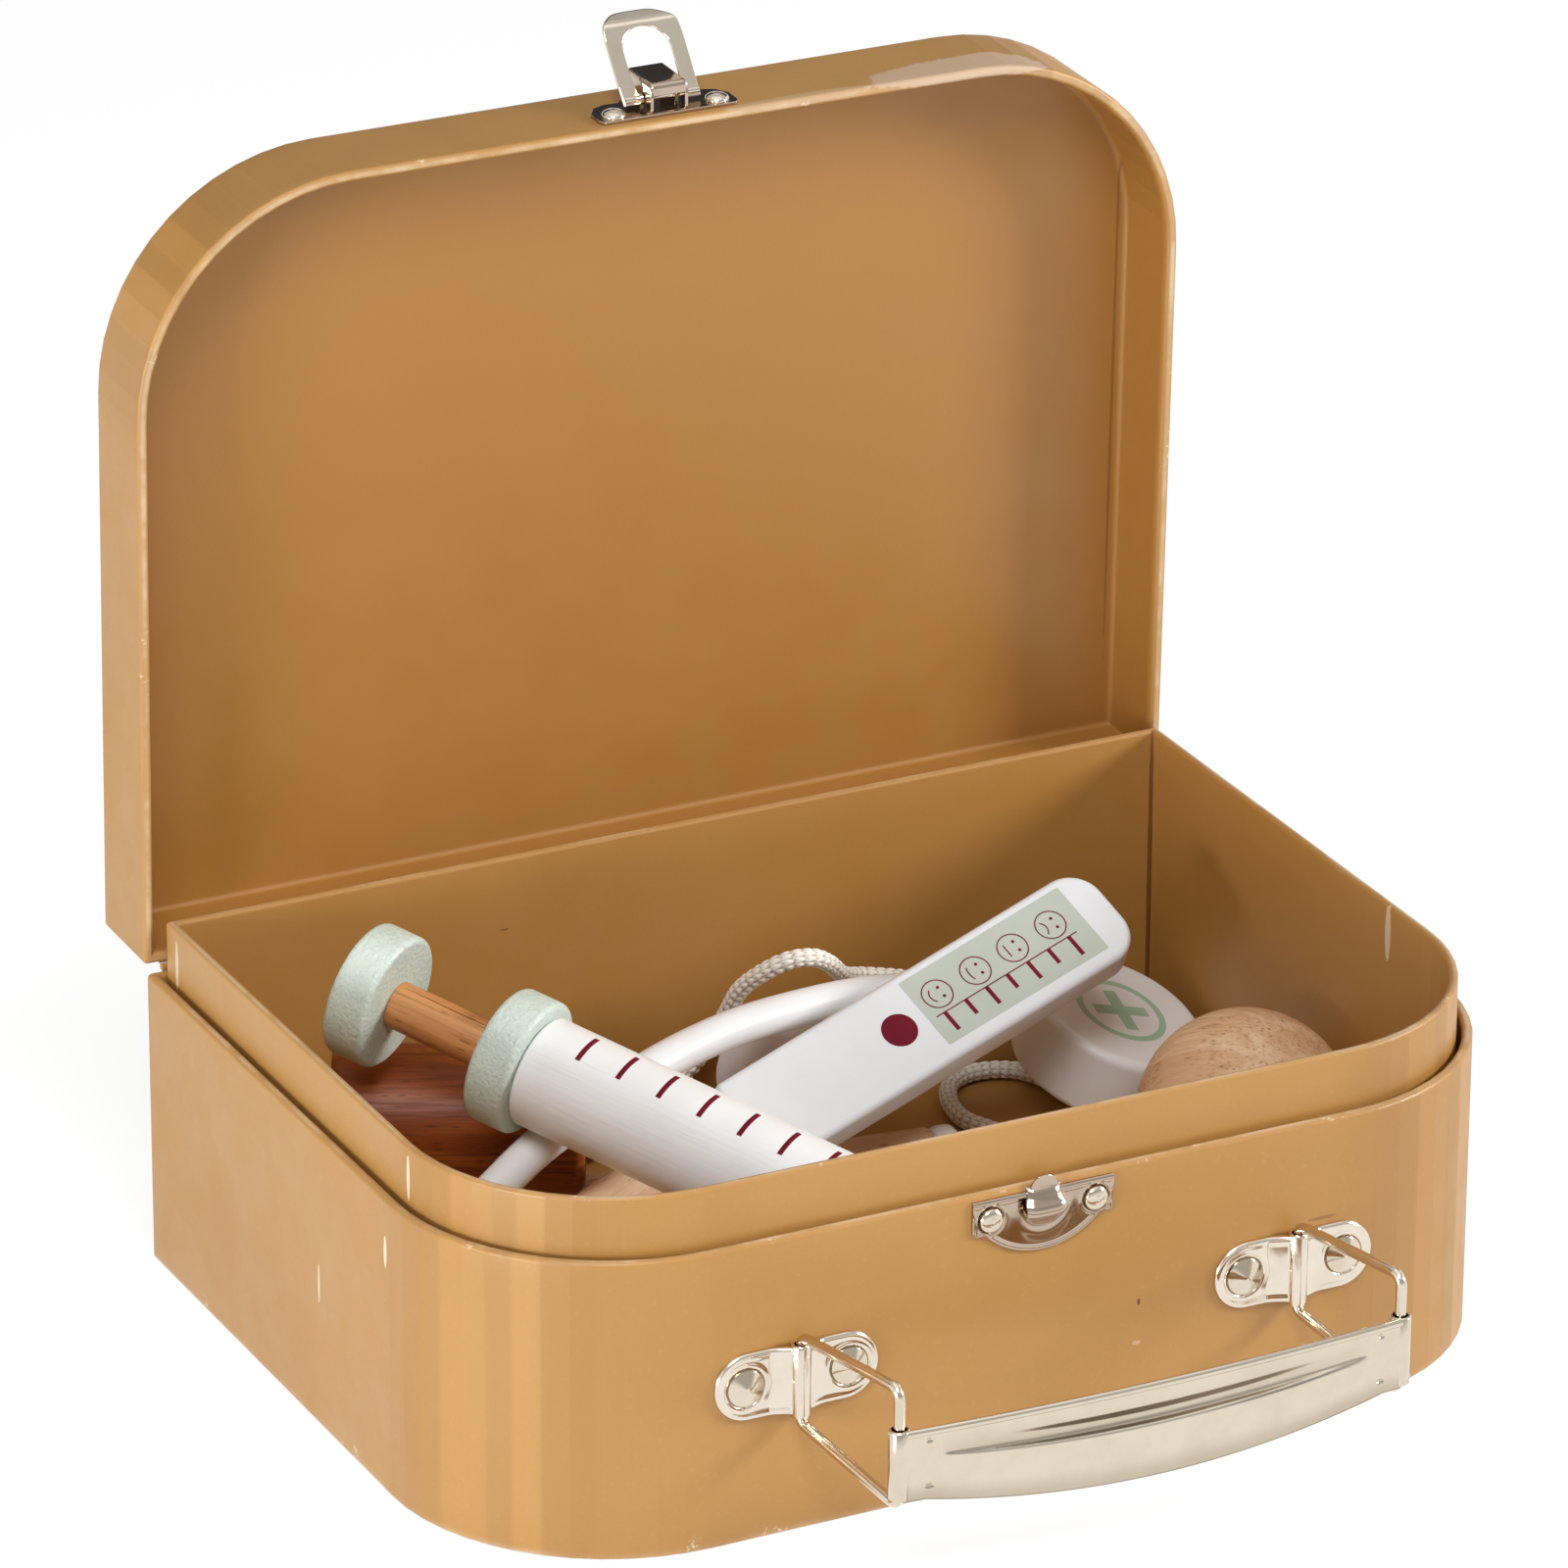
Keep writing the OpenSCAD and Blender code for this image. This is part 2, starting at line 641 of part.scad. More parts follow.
// Each ring's first side is carried on from the ring before, so the tube doesn't twist.
function frames(p, i = 0, s = undef, out = []) = i >= len(p) ? out :
    let (t = way(p, i), raw = s == undef ? side_of(t) : s - t * (s * t), u = unit(raw))
    frames(p, i + 1, u, concat(out, [[u, cross(t, u)]]));

module tube(p, d, sides) {
    f = frames(p);
    m = len(p);
    pts = [for (i = [0 : m - 1], k = [0 : sides - 1])
        p[i] + d / 2 * (cos(360 * k / sides) * f[i][0] + sin(360 * k / sides) * f[i][1])];
    walls = [for (i = [0 : m - 2], k = [0 : sides - 1], h = [0, 1])
        let (a = i * sides + k, b = i * sides + (k + 1) % sides)
        h == 0 ? [a, a + sides, b] : [b, a + sides, b + sides]];
    ends = [[for (k = [0 : sides - 1]) k], [for (k = [sides - 1 : -1 : 0]) (m - 1) * sides + k]];
    polyhedron(points = pts, faces = concat(walls, ends));
}

bow_points = [[-89, 7, 34], [-76, 13.6, 39], [-63, 19.4, 43.6], [-46, 27.8, 45.8], [-26.5, 35.8, 48.4],
    [-8, 41.6, 49.6], [9, 45.2, 49.4], [28, 47.4, 48.4], [43, 46.6, 46.8]];
bow_route = smooth(bow_points, 4);

module stetho_bow() {
    color(white_paint) tube(bow_route, bow_d, 16);
}

module ear_tips() {
    last = len(bow_route) - 1;
    for (end = [[bow_route[0], -way(bow_route, 0)], [bow_route[last], way(bow_route, last)]]) {
        d = end[1];
        color(white_paint) translate(end[0]) lean(acos(d[2]), atan2(d[1], d[0])) turned(ear_tip_d, 9, 3.5);
    }
}

// The cord leaves the underside of the chest piece, turns round on the floor, runs round the beech toys
// to the back wall, rises in a loop that leans on the bow, and ends in the back of the bow.
cord_points = [[89.2, 60.6, 13.8], [88.2, 62.2, 9.8], [87.2, 66, 7], [86, 71.4, 6.4], [82.8, 76.8, 6.4],
    [77, 79.7, 6.4], [71, 79.6, 6.4], [66, 76.6, 6.4], [62.6, 71, 6.4], [60.6, 64.4, 6.4],
    [60.6, 58, 6.4], [63.4, 51.4, 6.4], [67.4, 42, 6.4], [66, 29, 6.4], [53, 18.4, 6.4], [28, 13.2, 6.4],
    [0, 10.4, 6.4], [-30, 5.6, 6.4], [-60, 1.4, 6.4], [-84, 5.4, 6.4], [-99, 22, 6.4], [-100, 44, 6.4],
    [-89, 65, 6.4], [-58, 78.6, 6.4], [-28, 79.6, 7.4], [-10, 79.4, 14], [1.6, 77, 25], [6.2, 72, 36.4],
    [7.4, 65.6, 46.4], [10.6, 59.6, 52.8], [15.2, 56.6, 55.8], [20.8, 56.2, 55.4], [25.8, 58.6, 52],
    [30, 62, 47.6], [33.8, 65.8, 44.4], [38.8, 68.2, 42.4], [44, 67, 41.6], [47.4, 62.8, 42.2],
    [48, 57.6, 44], [47.8, 52.4, 46]];

module stetho_cord() {
    color(cotton) tube(smooth(cord_points, 2), cord_d, 8);
}

// ---- beech toys: the stick lies on the floor, and the big cylinder and the ear viewer lie across it
seat = 0.2;
cylinder_at = [-41.5, 42.6];
viewer_at = [-74.2, -4.5];
viewer_head_at = [9, 52.8];
ball_y = -6.9;
ball_from_wall = 0.4;
stick_edge = 1;
cap_edge = 2;
cylinder_edge = 2.4;
stick_at = [45.5, 34.3, floor_z + seat + stick_d / 2];
stick_top = floor_z + seat + stick_d;
stick_cap_l = 6;

module beech_cylinder() {
    color(beech) translate([cylinder_at[0], cylinder_at[1], stick_top + 2 * seat + cylinder_d / 2])
        lean(-90, -26.7) turned(cylinder_d, cylinder_l, cylinder_edge);
}

module beech_stick() {
    color(beech) translate(stick_at) lean(-90, -7.9) translate([0, 0, stick_cap_l])
        turned(stick_d, stick_l, stick_edge);
}

module stick_cap() {
    color(white_paint) translate(stick_at) lean(-90, -7.9) turned(stick_d, stick_cap_l, cap_edge);
}

viewer_z = stick_top + 0.3 + viewer_handle_d / 2;

module viewer_handle() {
    color(beech) translate([viewer_at[0], viewer_at[1], viewer_z]) lean(90, 34.6)
        turned(viewer_handle_d, viewer_handle_l, 1.5 * stick_edge);
}

module viewer_head() {
    color(white_paint) translate([viewer_head_at[0], viewer_head_at[1], viewer_z]) lean(90, 34.6)
        turned(viewer_head_d, viewer_head_l, cap_edge);
}

// The ball has a small flat foot, and leans against the right wall.
module beech_ball() {
    foot_cut = 0.2;
    color(beech) translate([case_w / 2 - inside_inset - ball_from_wall - ball_d / 2, ball_y, floor_z]) difference() {
        translate([0, 0, ball_d / 2 - foot_cut]) sphere(d = ball_d, $fn = 96);
        translate([0, 0, -20]) cylinder(d = ball_d, h = 20);
    }
}

base_wall();
base_bottom();
floor_card();
liner_front();
liner_back();
hinge_strip_base();
catch_plate();
catch_rivets();
bracket_left();
bracket_right();
bracket_rivets();
lid_wall();
lid_panel();
lid_card();
hinge_strip_lid();
hasp_plate();
hasp_rivets();
hasp_pin();
hasp_spring();
hasp_arm();
wire_loop_left();
wire_loop_right();
grip();
syringe_barrel();
syringe_collar();
plunger_rod();
plunger_cap();
thermometer();
chest_piece();
stetho_bow();
ear_tips();
stetho_cord();
beech_cylinder();
beech_stick();
stick_cap();
viewer_handle();
viewer_head();
beech_ball();
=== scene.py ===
import math

import bmesh
import bpy
import numpy as np
from mathutils import Matrix


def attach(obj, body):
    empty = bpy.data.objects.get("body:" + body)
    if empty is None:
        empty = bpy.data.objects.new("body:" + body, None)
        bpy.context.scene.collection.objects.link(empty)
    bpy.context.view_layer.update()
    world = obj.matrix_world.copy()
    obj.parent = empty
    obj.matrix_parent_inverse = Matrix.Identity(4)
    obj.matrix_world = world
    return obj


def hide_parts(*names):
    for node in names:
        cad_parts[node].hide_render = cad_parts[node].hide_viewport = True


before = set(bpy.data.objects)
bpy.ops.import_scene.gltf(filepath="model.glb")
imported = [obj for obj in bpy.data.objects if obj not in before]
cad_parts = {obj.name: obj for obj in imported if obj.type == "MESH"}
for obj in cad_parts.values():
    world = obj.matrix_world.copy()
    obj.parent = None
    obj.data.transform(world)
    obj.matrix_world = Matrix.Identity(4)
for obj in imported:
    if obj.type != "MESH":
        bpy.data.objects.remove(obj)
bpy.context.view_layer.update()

# sizes shared by several pieces, in metres and degrees
case = {
    "width": 0.250, "depth": 0.176, "cornerRadius": 0.050, "backRadius": 0.0012, "boardThickness": 0.0024,
    "baseHeight": 0.068, "bottomThickness": 0.003,
    # the liner's inner share is how much painted shade its inner face gets
    "linerInset": 0.0035, "linerThickness": 0.002, "linerHeight": 0.081, "linerInnerShade": 0.55,
    "lidHeight": 0.0228, "lidGap": 0.0003, "lidCard": 0.0008, "lidEdge": 0.0016, "lidRim": 0.0009, "lidFold": 0.0012,
    "panelInset": 0.012, "panelStep": 0.0006, "hingeY": 0.089, "hingeZ": 0.0683, "open": 88.5,
    "facets": 13, "facetShare": 0.95, "bandSeed": 7, "evenTone": 0.3,
    "cornerPoints": 104, "frontPoints": 40, "sidePoints": 24, "backPoints": 40, "backCornerPoints": 8,
}
frontY = -case["depth"] / 2


def srgb(code):
    # a colour code made linear: c / 12.92 when dark, or else (c + 0.055) / 1.055 to the power 2.4
    c = np.array([int(code[k:k + 2], 16) for k in (1, 3, 5)]) / 255
    return (*np.where(c <= 0.04045, c / 12.92, ((c + 0.055) / 1.055) ** 2.4).tolist(), 1.0)


class Nodes:
    # a node tree with short calls for its nodes; an input takes a number, a colour code or another node's output
    def __init__(self, tree):
        self.tree = tree
        tree.nodes.clear()

    def put(self, socket, value):
        # a link when the value is an output, or else the socket's own value
        if hasattr(value, "links"):
            self.tree.links.new(value, socket)
        else:
            socket.default_value = srgb(value) if isinstance(value, str) else value

    def add(self, kind, inputs=None, **settings):
        # a new node with its settings and inputs, by name or number
        node = self.tree.nodes.new("ShaderNode" + kind)
        for key, value in settings.items():
            setattr(node, key, value)
        for key, value in (inputs or {}).items():
            self.put(node.inputs[key], value)
        return node

    def mapped(self, vector, scale, shift=(0, 0, 0)):
        # vector times scale plus shift, on each axis
        return self.add("Mapping", {"Vector": vector, "Scale": scale, "Location": shift}).outputs[0]

    def attribute(self, name, output="Fac"):
        # a value stored on the piece's points, or 0 where it has none
        return self.add("Attribute", attribute_name=name).outputs[output]

    def noise(self, vector, scale, detail=3.0, rough=0.55, distort=0.0):
        # smooth random values from 0 to 1, mostly near a half
        return self.add("TexNoise", {"Vector": vector, "Scale": scale, "Detail": detail, "Roughness": rough,
                                     "Distortion": distort}).outputs["Fac"]

    def calc(self, operation, *values, clamp=False):
        # one sum on the values, kept between 0 and 1 when clamped
        return self.add("Math", dict(enumerate(values)), operation=operation, use_clamp=clamp).outputs[0]

    def fit(self, value, low, high, toLow=0.0, toHigh=1.0):
        # an S curve from toLow to toHigh while value goes from low to high
        return self.add("MapRange", {"Value": value, "From Min": low, "From Max": high, "To Min": toLow,
                                     "To Max": toHigh}, interpolation_type="SMOOTHSTEP").outputs[0]

    def mix(self, factor, a, b):
        # a times (1 - factor) plus b times factor
        return self.add("Mix", {"Factor": factor, 6: a, 7: b}, data_type="RGBA").outputs[2]

    def bump(self, height, distance, strength, onto=None):
        # the normal leans as a surface of that height would, on top of another bump
        node = self.add("Bump", {"Height": height, "Distance": distance, "Strength": strength})
        if onto is not None:
            self.put(node.inputs["Normal"], onto)
        return node.outputs[0]


class Finish(Nodes):
    # a material made of one principled shader
    def __init__(self, name):
        self.material = bpy.data.materials.new(name)
        self.material.use_nodes = True
        super().__init__(self.material.node_tree)
        self.shader = self.add("BsdfPrincipled")
        self.add("OutputMaterial", {"Surface": self.shader.outputs[0]})

    def objectPoint(self):
        # the point in the piece's own frame, in metres
        return self.add("TexCoord").outputs["Object"]

    def base(self, **values):
        # inputs of the shader, with an underscore for each space in a name
        for key, value in values.items():
            self.put(self.shader.inputs[key.replace("_", " ")], value)


def gridFaces(nu, nv, closeU=False, closeV=False):
    # cell (i, j) joins its four corners, and wraps round where a side is closed
    i, j = np.meshgrid(np.arange(nu if closeU else nu - 1), np.arange(nv if closeV else nv - 1), indexing="ij")
    i1, j1 = (i + 1) % nu, (j + 1) % nv
    return np.stack([i * nv + j, i1 * nv + j, i1 * nv + j1, i * nv + j1], -1).reshape(-1, 4)


def cappedFaces(nu, nv, closeU=False):
    # a grid closed round u, or else round v, with one face over each of its open ends
    index = np.arange(nu * nv).reshape(nu, nv)
    ends = (index[::-1, 0], index[:, -1]) if closeU else (index[0, ::-1], index[-1])
    return gridFaces(nu, nv, closeU, not closeU).tolist() + [end.tolist() for end in ends]


def joined(parts):
    # several (points, faces) made one: a part's faces count on from the points before it
    verts, faces, start = [], [], 0
    for v, f in parts:
        v = np.reshape(v, (-1, 3))
        verts.append(v)
        faces += [[int(k) + start for k in q] for q in f]
        start += len(v)
    return np.concatenate(verts), faces


def newPiece(name, verts, faces, material, body, slot, nodes=(), smooth=True, outside=False, flat=None,
             floats=None, grain=None):
    # points and faces made an object; faces meet sharply where they turn by more than flat degrees
    mesh = bpy.data.meshes.new(name)
    mesh.from_pydata(np.reshape(verts, (-1, 3)).tolist(), [], [list(map(int, f)) for f in faces])
    mesh.update()
    mesh.polygons.foreach_set("use_smooth", np.full(len(mesh.polygons), smooth))
    for key, values in (floats or {}).items():
        mesh.attributes.new(key, "FLOAT", "POINT").data.foreach_set("value", np.asarray(values, np.float32).ravel())
    if grain is not None:
        mesh.attributes.new("grain", "FLOAT_VECTOR", "POINT").data.foreach_set(
            "vector", np.asarray(grain, np.float32).ravel())
    mesh.materials.append(material)
    piece = bpy.data.objects.new(name, mesh)
    bpy.context.scene.collection.objects.link(piece)
    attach(piece, body)
    if nodes:
        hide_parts(*nodes)
    if outside:
        work = bmesh.new()
        work.from_mesh(mesh)
        bmesh.ops.recalc_face_normals(work, faces=work.faces)
        work.to_mesh(mesh)
        work.free()
    if flat is not None:
        mesh.set_sharp_from_angle(angle=math.radians(flat))
    return piece


def coverSolids(names, material):
    # the finish of the solids that show as they are
    for name in names:
        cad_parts[name].data.materials.clear()
        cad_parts[name].data.materials.append(material)


def circle(count):
    # angles of a full turn
    return np.linspace(0, 2 * math.pi, count, endpoint=False)


def arcOf(cx, cy, radius, angles):
    # centre plus radius times (cos, sin)
    return np.stack([cx + radius * np.cos(angles), cy + radius * np.sin(angles)], -1)


def sCurve(values, low=0.0, high=1.0):
    # 3 t squared less 2 t cubed, where t goes from 0 at low to 1 at high
    t = np.clip((values - low) / (high - low), 0, 1)
    return t * t * (3 - 2 * t)


def swell(values, middle, width):
    # a bell curve, e to the minus square of the distance from the middle in widths
    return np.exp(-((values - middle) / width) ** 2)


def crowded(count):
    # from -1 to 1 by the sine of even angles, so that the steps are small near both ends
    return np.sin(np.linspace(-1, 1, count) * math.pi / 2)


def turnMatrix(angles):
    # turned about X, then Y, then Z by the angles in degrees
    x, y, z = (math.radians(v) for v in angles)
    rx = np.array([[1, 0, 0], [0, math.cos(x), -math.sin(x)], [0, math.sin(x), math.cos(x)]])
    ry = np.array([[math.cos(y), 0, math.sin(y)], [0, 1, 0], [-math.sin(y), 0, math.cos(y)]])
    rz = np.array([[math.cos(z), -math.sin(z), 0], [math.sin(z), math.cos(z), 0], [0, 0, 1]])
    return rz @ ry @ rx


def posed(points, pose, along=0.0):
    # points of a toy's own frame, moved along its Z axis, turned and set in the toy's place
    at, angles = pose
    turn = turnMatrix(angles)
    return np.reshape(points, (-1, 3)) @ turn.T + np.asarray(at) + turn @ [0, 0, along]


def turnedPoints(profile, angles):
    # each profile point (radius, height) goes round the Z axis through the angles
    r, z = np.asarray(profile, float).T
    return np.stack([np.cos(angles)[:, None] * r, np.sin(angles)[:, None] * r,
                     np.broadcast_to(z, (len(angles), len(z)))], -1)


def turnedSolid(profile, count=96):
    # the profile turned once round, with a flat face over each end
    return turnedPoints(profile, circle(count)).reshape(-1, 3), cappedFaces(count, len(profile), closeU=True)


def edgeRound(radius, height, edge, steps=6, foot=0.0):
    # a disc's or rod's side with quarter-circle edges, from its lower face to its upper face
    a = np.radians(np.linspace(0, 90, steps + 1))
    return np.concatenate([[[radius * 0.5, 0]], arcOf(radius - foot - edge, edge, edge, a - math.pi / 2),
                           arcOf(radius - edge, height - edge, edge, a), [[radius * 0.5, height]]])


def turnedPiece(name, profile, pose, material, body, slot, nodes, along=0.0, count=96):
    # a turned solid in its place, which keeps its own coordinates for the grain
    verts, faces = turnedSolid(profile, count)
    newPiece(name, posed(verts, pose, along), faces, material, body, slot, nodes, flat=50, grain=verts)


def splinePoints(points, each):
    # a Catmull-Rom curve through the points, the same rule as the route of the solid
    p = np.asarray(points, float)
    a, b = p[np.r_[0, 0:len(p) - 2]], p[:-1]
    c, d = p[1:], p[np.r_[2:len(p), len(p) - 1]]
    t = np.linspace(0, 1, each, endpoint=False)[None, :, None]
    a, b, c, d = (q[:, None, :] for q in (a, b, c, d))
    out = 0.5 * (2 * b + (c - a) * t + (2 * a - 5 * b + 4 * c - d) * t ** 2 + (3 * b - a - 3 * c + d) * t ** 3)
    return np.concatenate([out.reshape(-1, 3), p[-1:]])


def walkAlong(path):
    # the length walked up to each point of a path
    return np.r_[0, np.cumsum(np.linalg.norm(np.diff(path, axis=0), axis=1))]


def tubePoints(path, radius, count):
    # rings square to the path: point = path + radius (cos a side + sin a other), where the tangent is a central
    # difference and the side is carried from ring to ring, less its share along the tangent, so it doesn't twist
    tangent = np.gradient(path, axis=0)
    tangent /= np.linalg.norm(tangent, axis=1, keepdims=True)
    side, sides = np.cross(tangent[0], [0, 0, 1.0]), []
    for t in tangent:
        side = side - t * (side @ t)
        side /= np.linalg.norm(side)
        sides.append(side)
    sides = np.array(sides)
    other, a = np.cross(tangent, sides), circle(count)
    ring = np.cos(a)[None, :, None] * sides[:, None] + np.sin(a)[None, :, None] * other[:, None]
    return path[:, None, :] + np.broadcast_to(radius, (len(path), count))[..., None] * ring


paper = {
    # inside is a painted shade for the paper within the case, and band a faint painted shade for the bent corner facets
    "colour": "#B58646", "deep": "#AC7C3C", "inside": "#A17031", "band": "#7A5222", "bandShadeShare": 0.24,
    "worn": "#EADBC0", "pulp": "#C9AE94", "dark": "#5A3414", "roughness": (0.39, 0.51), "shine": 0.65,
    # grain specks: scale, detail, roughness, from, to, share, colour
    "specks": ((700, 3, 0.65, 0.55, 0.80, 0.10, "#E3C08A"), (1300, 2, 0.6, 0.60, 0.82, 0.12, "#8F6632")),
    "grainScale": 1500, "grainHeight": 0.00005, "swellScale": 22, "swellHeight": 0.0012,
    # from which wear a rubbed line and chips show, how much of the chips, and the edge of a torn mark
    "lineFrom": (0.55, 1.0), "chipsFrom": (0.25, 0.8), "chips": 0.8, "tornScale": 210, "tornRough": 0.55,
    "tornFrom": (0.42, 0.50), "tornFade": (0.02, 0.12),
}
# marks on the paper: place, half sizes, tint and strength
paperMarks = {
    "outside": [
        ((0.0240, -0.0885, 0.0351), (0.0005, 0.002, 0.0010), "dark", 0.9),
        ((0.0675, -0.0885, 0.0452), (0.0042, 0.003, 0.0005), "dark", 0.45),
        ((0.0237, -0.0885, 0.0256), (0.0014, 0.002, 0.0007), "worn", 0.25),
        ((0.0908, -0.0885, 0.0052), (0.0014, 0.002, 0.0008), "worn", 0.8),
        ((-0.1252, -0.0020, 0.0335), (0.002, 0.0006, 0.0055), "worn", 0.7),
        ((-0.1252, -0.0360, 0.0560), (0.002, 0.0009, 0.0045), "worn", 0.8),
    ],
    "lid": [
        ((0.0800, 0.0868, 0.2455), (0.040, 0.0080, 0.0040), "pulp", 0.75),
        ((0.0300, 0.0850, 0.2450), (0.022, 0.0022, 0.0020), "pulp", 0.4),
        ((0.0332, 0.1042, 0.1213), (0.0060, 0.002, 0.0005), "dark", 0.35),
        ((-0.0974, 0.1042, 0.1033), (0.0007, 0.002, 0.0004), "dark", 0.8),
        ((0.1226, 0.1120, 0.2013), (0.0012, 0.0010, 0.0075), "dark", 0.9),
        ((-0.1245, 0.0850, 0.0950), (0.0020, 0.0020, 0.0100), "worn", 0.5),
        # a long thin dark line down the lid's inner right corner: painted shade in the corner
        ((0.1203, 0.1060, 0.1600), (0.00045, 0.0050, 0.0900), "dark", 0.45),
    ],
    "liner": [
        ((-0.1215, -0.0400, 0.0735), (0.0020, 0.0008, 0.0065), "worn", 0.75),
        ((0.1195, -0.0240, 0.0745), (0.0020, 0.0014, 0.0085), "worn", 0.5),
        ((-0.1215, 0.0790, 0.0730), (0.0012, 0.0010, 0.0075), "worn", 0.6),
        # a long thin dark line down the liner's back right corner: painted shade in the corner
        ((0.1195, 0.0825, 0.0400), (0.0007, 0.0012, 0.0600), "dark", 0.85),
        ((-0.0420, 0.0825, 0.0640), (0.0012, 0.002, 0.0003), "dark", 0.6),
    ],
}


def paperFinish(name, marks):
    # covering paper: an even tone with fine grain, a thin pale line where an edge is rubbed, painted shade inside the
    # case and on the bent corner facets, and separate marks
    m = Finish(name)
    p = m.objectPoint()
    tone = m.mix(m.fit(m.noise(p, 9, 3, 0.55), 0.36, 0.68, 0.0, 0.7), paper["colour"], paper["deep"])
    for scale, detail, rough, low, high, share, tint in paper["specks"]:
        tone = m.mix(m.fit(m.noise(p, scale, detail, rough), low, high, 0.0, share), tone, tint)
    wear = m.attribute("wear")
    line = m.calc("MULTIPLY", m.fit(wear, *paper["lineFrom"]), m.fit(m.noise(p, 45, 4, 0.7), 0.40, 0.62, 0.18, 0.60))
    chips = m.calc("MULTIPLY", m.fit(wear, *paper["chipsFrom"]), m.fit(m.noise(p, 70, 5, 0.8), 0.62, 0.66))
    tone = m.mix(m.calc("MAXIMUM", line, m.calc("MULTIPLY", chips, paper["chips"]), clamp=True), tone, paper["worn"])
    # painted shade: the paper inside the case is made darker, and each flat band of a scored corner gets its own
    # faint painted shade, with a little scuffing
    tone = m.mix(m.attribute("inner"), tone, paper["inside"])
    tone = m.mix(m.fit(m.attribute("band"), 0.0, 1.0, 0.0, paper["bandShadeShare"]), tone, paper["band"])
    for at, size, tint, amount in paperMarks[marks]:
        scale = tuple(1 / v for v in size)
        near = m.mapped(p, scale, tuple(-c * k for c, k in zip(at, scale)))
        near = m.add("TexGradient", {"Vector": near}, gradient_type="SPHERICAL").outputs["Fac"]
        ragged = m.calc("MULTIPLY", m.noise(p, paper["tornScale"], 5, 0.75), paper["tornRough"])
        torn = m.fit(m.calc("ADD", near, ragged), *paper["tornFrom"])
        torn = m.calc("MULTIPLY", torn, m.fit(near, *paper["tornFade"], 0.0, amount))
        tone = m.mix(torn, tone, paper[tint])
    swelling = m.bump(m.noise(p, paper["swellScale"], 2, 0.5), paper["swellHeight"], 0.22)
    m.base(Base_Color=tone, Roughness=m.fit(m.noise(p, 60, 3, 0.6), 0.3, 0.7, *paper["roughness"]),
           Specular_IOR_Level=paper["shine"],
           Normal=m.bump(m.noise(p, paper["grainScale"], 2, 0.5), paper["grainHeight"], 0.5, swelling))
    return m.material


paint = {"pore": "#B9AE9E", "poreShare": 0.16, "poreScale": (900, 900, 60), "speck": "#8FA190", "speckShare": 0.22,
         "speckScale": 1300, "lumpScale": (400, 450), "lumpHeight": (0.00005, 0.00045), "lumpShare": (0.35, 0.45),
         "coatRoughness": 0.2}


def paintFinish(name, colour, shade, rough=0.34, relief=1.0, coat=0.1, shine=0.5, pebble=0.0):
    # satin paint on turned wood: the wood's pores show a little through it, and pebble makes it coarse
    m = Finish(name)
    g = m.attribute("grain", "Vector")
    pores = m.noise(m.mapped(g, paint["poreScale"]), 1.0, 3, 0.6)
    cloud = m.noise(g, 60, 3, 0.5)
    tone = m.mix(m.fit(cloud, 0.3, 0.75), colour, shade)
    tone = m.mix(m.fit(pores, 0.62, 0.8, 0.0, paint["poreShare"]), tone, paint["pore"])
    specks = m.fit(m.noise(g, paint["speckScale"], 2, 0.5), 0.56, 0.68, 0.0, paint["speckShare"] * pebble)
    tone = m.mix(specks, tone, paint["speck"])
    # each lump value is its first number plus pebble times its second
    scale, height, share = (a + b * pebble for a, b in (paint[k] for k in ("lumpScale", "lumpHeight", "lumpShare")))
    lumps = m.bump(m.noise(g, scale, 3, 0.6), height, share)
    m.base(Base_Color=tone, Roughness=m.fit(cloud, 0.3, 0.7, rough - 0.05, rough + 0.09), Coat_Weight=coat,
           Coat_Roughness=paint["coatRoughness"], Specular_IOR_Level=shine,
           Normal=m.bump(pores, 0.00008 * relief, 0.5, lumps))
    return m.material


beech = {"pale": ("#E8C6A2", "#D8AC84", "#925C38"), "orange": ("#D89C64", "#C4854E", "#74401C"),
         "red": ("#98501A", "#7A3810", "#451E08"), "shine": 0.32, "bands": (170, 170, 14), "fibres": (1500, 1500, 70),
         "streaks": (900, 900, 26), "cells": (1000, 1000, 190), "patches": (300, 300, 60)}


def beechFinish(name, tones, pores=0.55, curve=0.5):
    # beech: growth bands along the piece, dark pore streaks and short flecks
    m = Finish(name)
    g = m.attribute("grain", "Vector")
    light, middle, dark = beech[tones]
    bands = m.noise(m.mapped(g, beech["bands"]), 1.0, 4, 0.55, curve)
    fibres = m.noise(m.mapped(g, beech["fibres"]), 1.0, 3, 0.6)
    streaks = m.noise(m.mapped(g, beech["streaks"]), 1.0, 2, 0.5, curve * 0.5)
    cells = m.add("TexVoronoi", {"Vector": m.mapped(g, beech["cells"]), "Scale": 1.0}).outputs["Distance"]
    patches = m.fit(m.noise(m.mapped(g, beech["patches"]), 1.0, 2, 0.5), 0.40, 0.54)
    tone = m.mix(m.fit(bands, 0.36, 0.64), light, middle)
    tone = m.mix(m.fit(fibres, 0.48, 0.78, 0.0, 0.5), tone, dark)
    tone = m.mix(m.fit(streaks, 0.60, 0.68, 0.0, pores), tone, dark)
    flecks = m.calc("MULTIPLY", m.fit(cells, 0.10, 0.32, 1.0, 0.0), patches)
    tone = m.mix(m.calc("MULTIPLY", flecks, 0.7), tone, dark)
    m.base(Base_Color=tone, Roughness=m.fit(fibres, 0.3, 0.7, 0.36, 0.5), Specular_IOR_Level=beech["shine"],
           Normal=m.bump(fibres, 0.00007, 0.5, m.bump(streaks, 0.00015, 0.5)))
    return m.material


# its first two colours are painted: a dark reflection tone and a shadow line colour, mixed in where a piece stores them
nickel = {"reflectionShade": "#94836A", "line": "#2C2830", "rippleScale": 190, "rippleHeight": 0.00018,
          "rubScale": 2600, "rubHeight": 0.000006, "rubAlong": (1, 1, 0.12)}


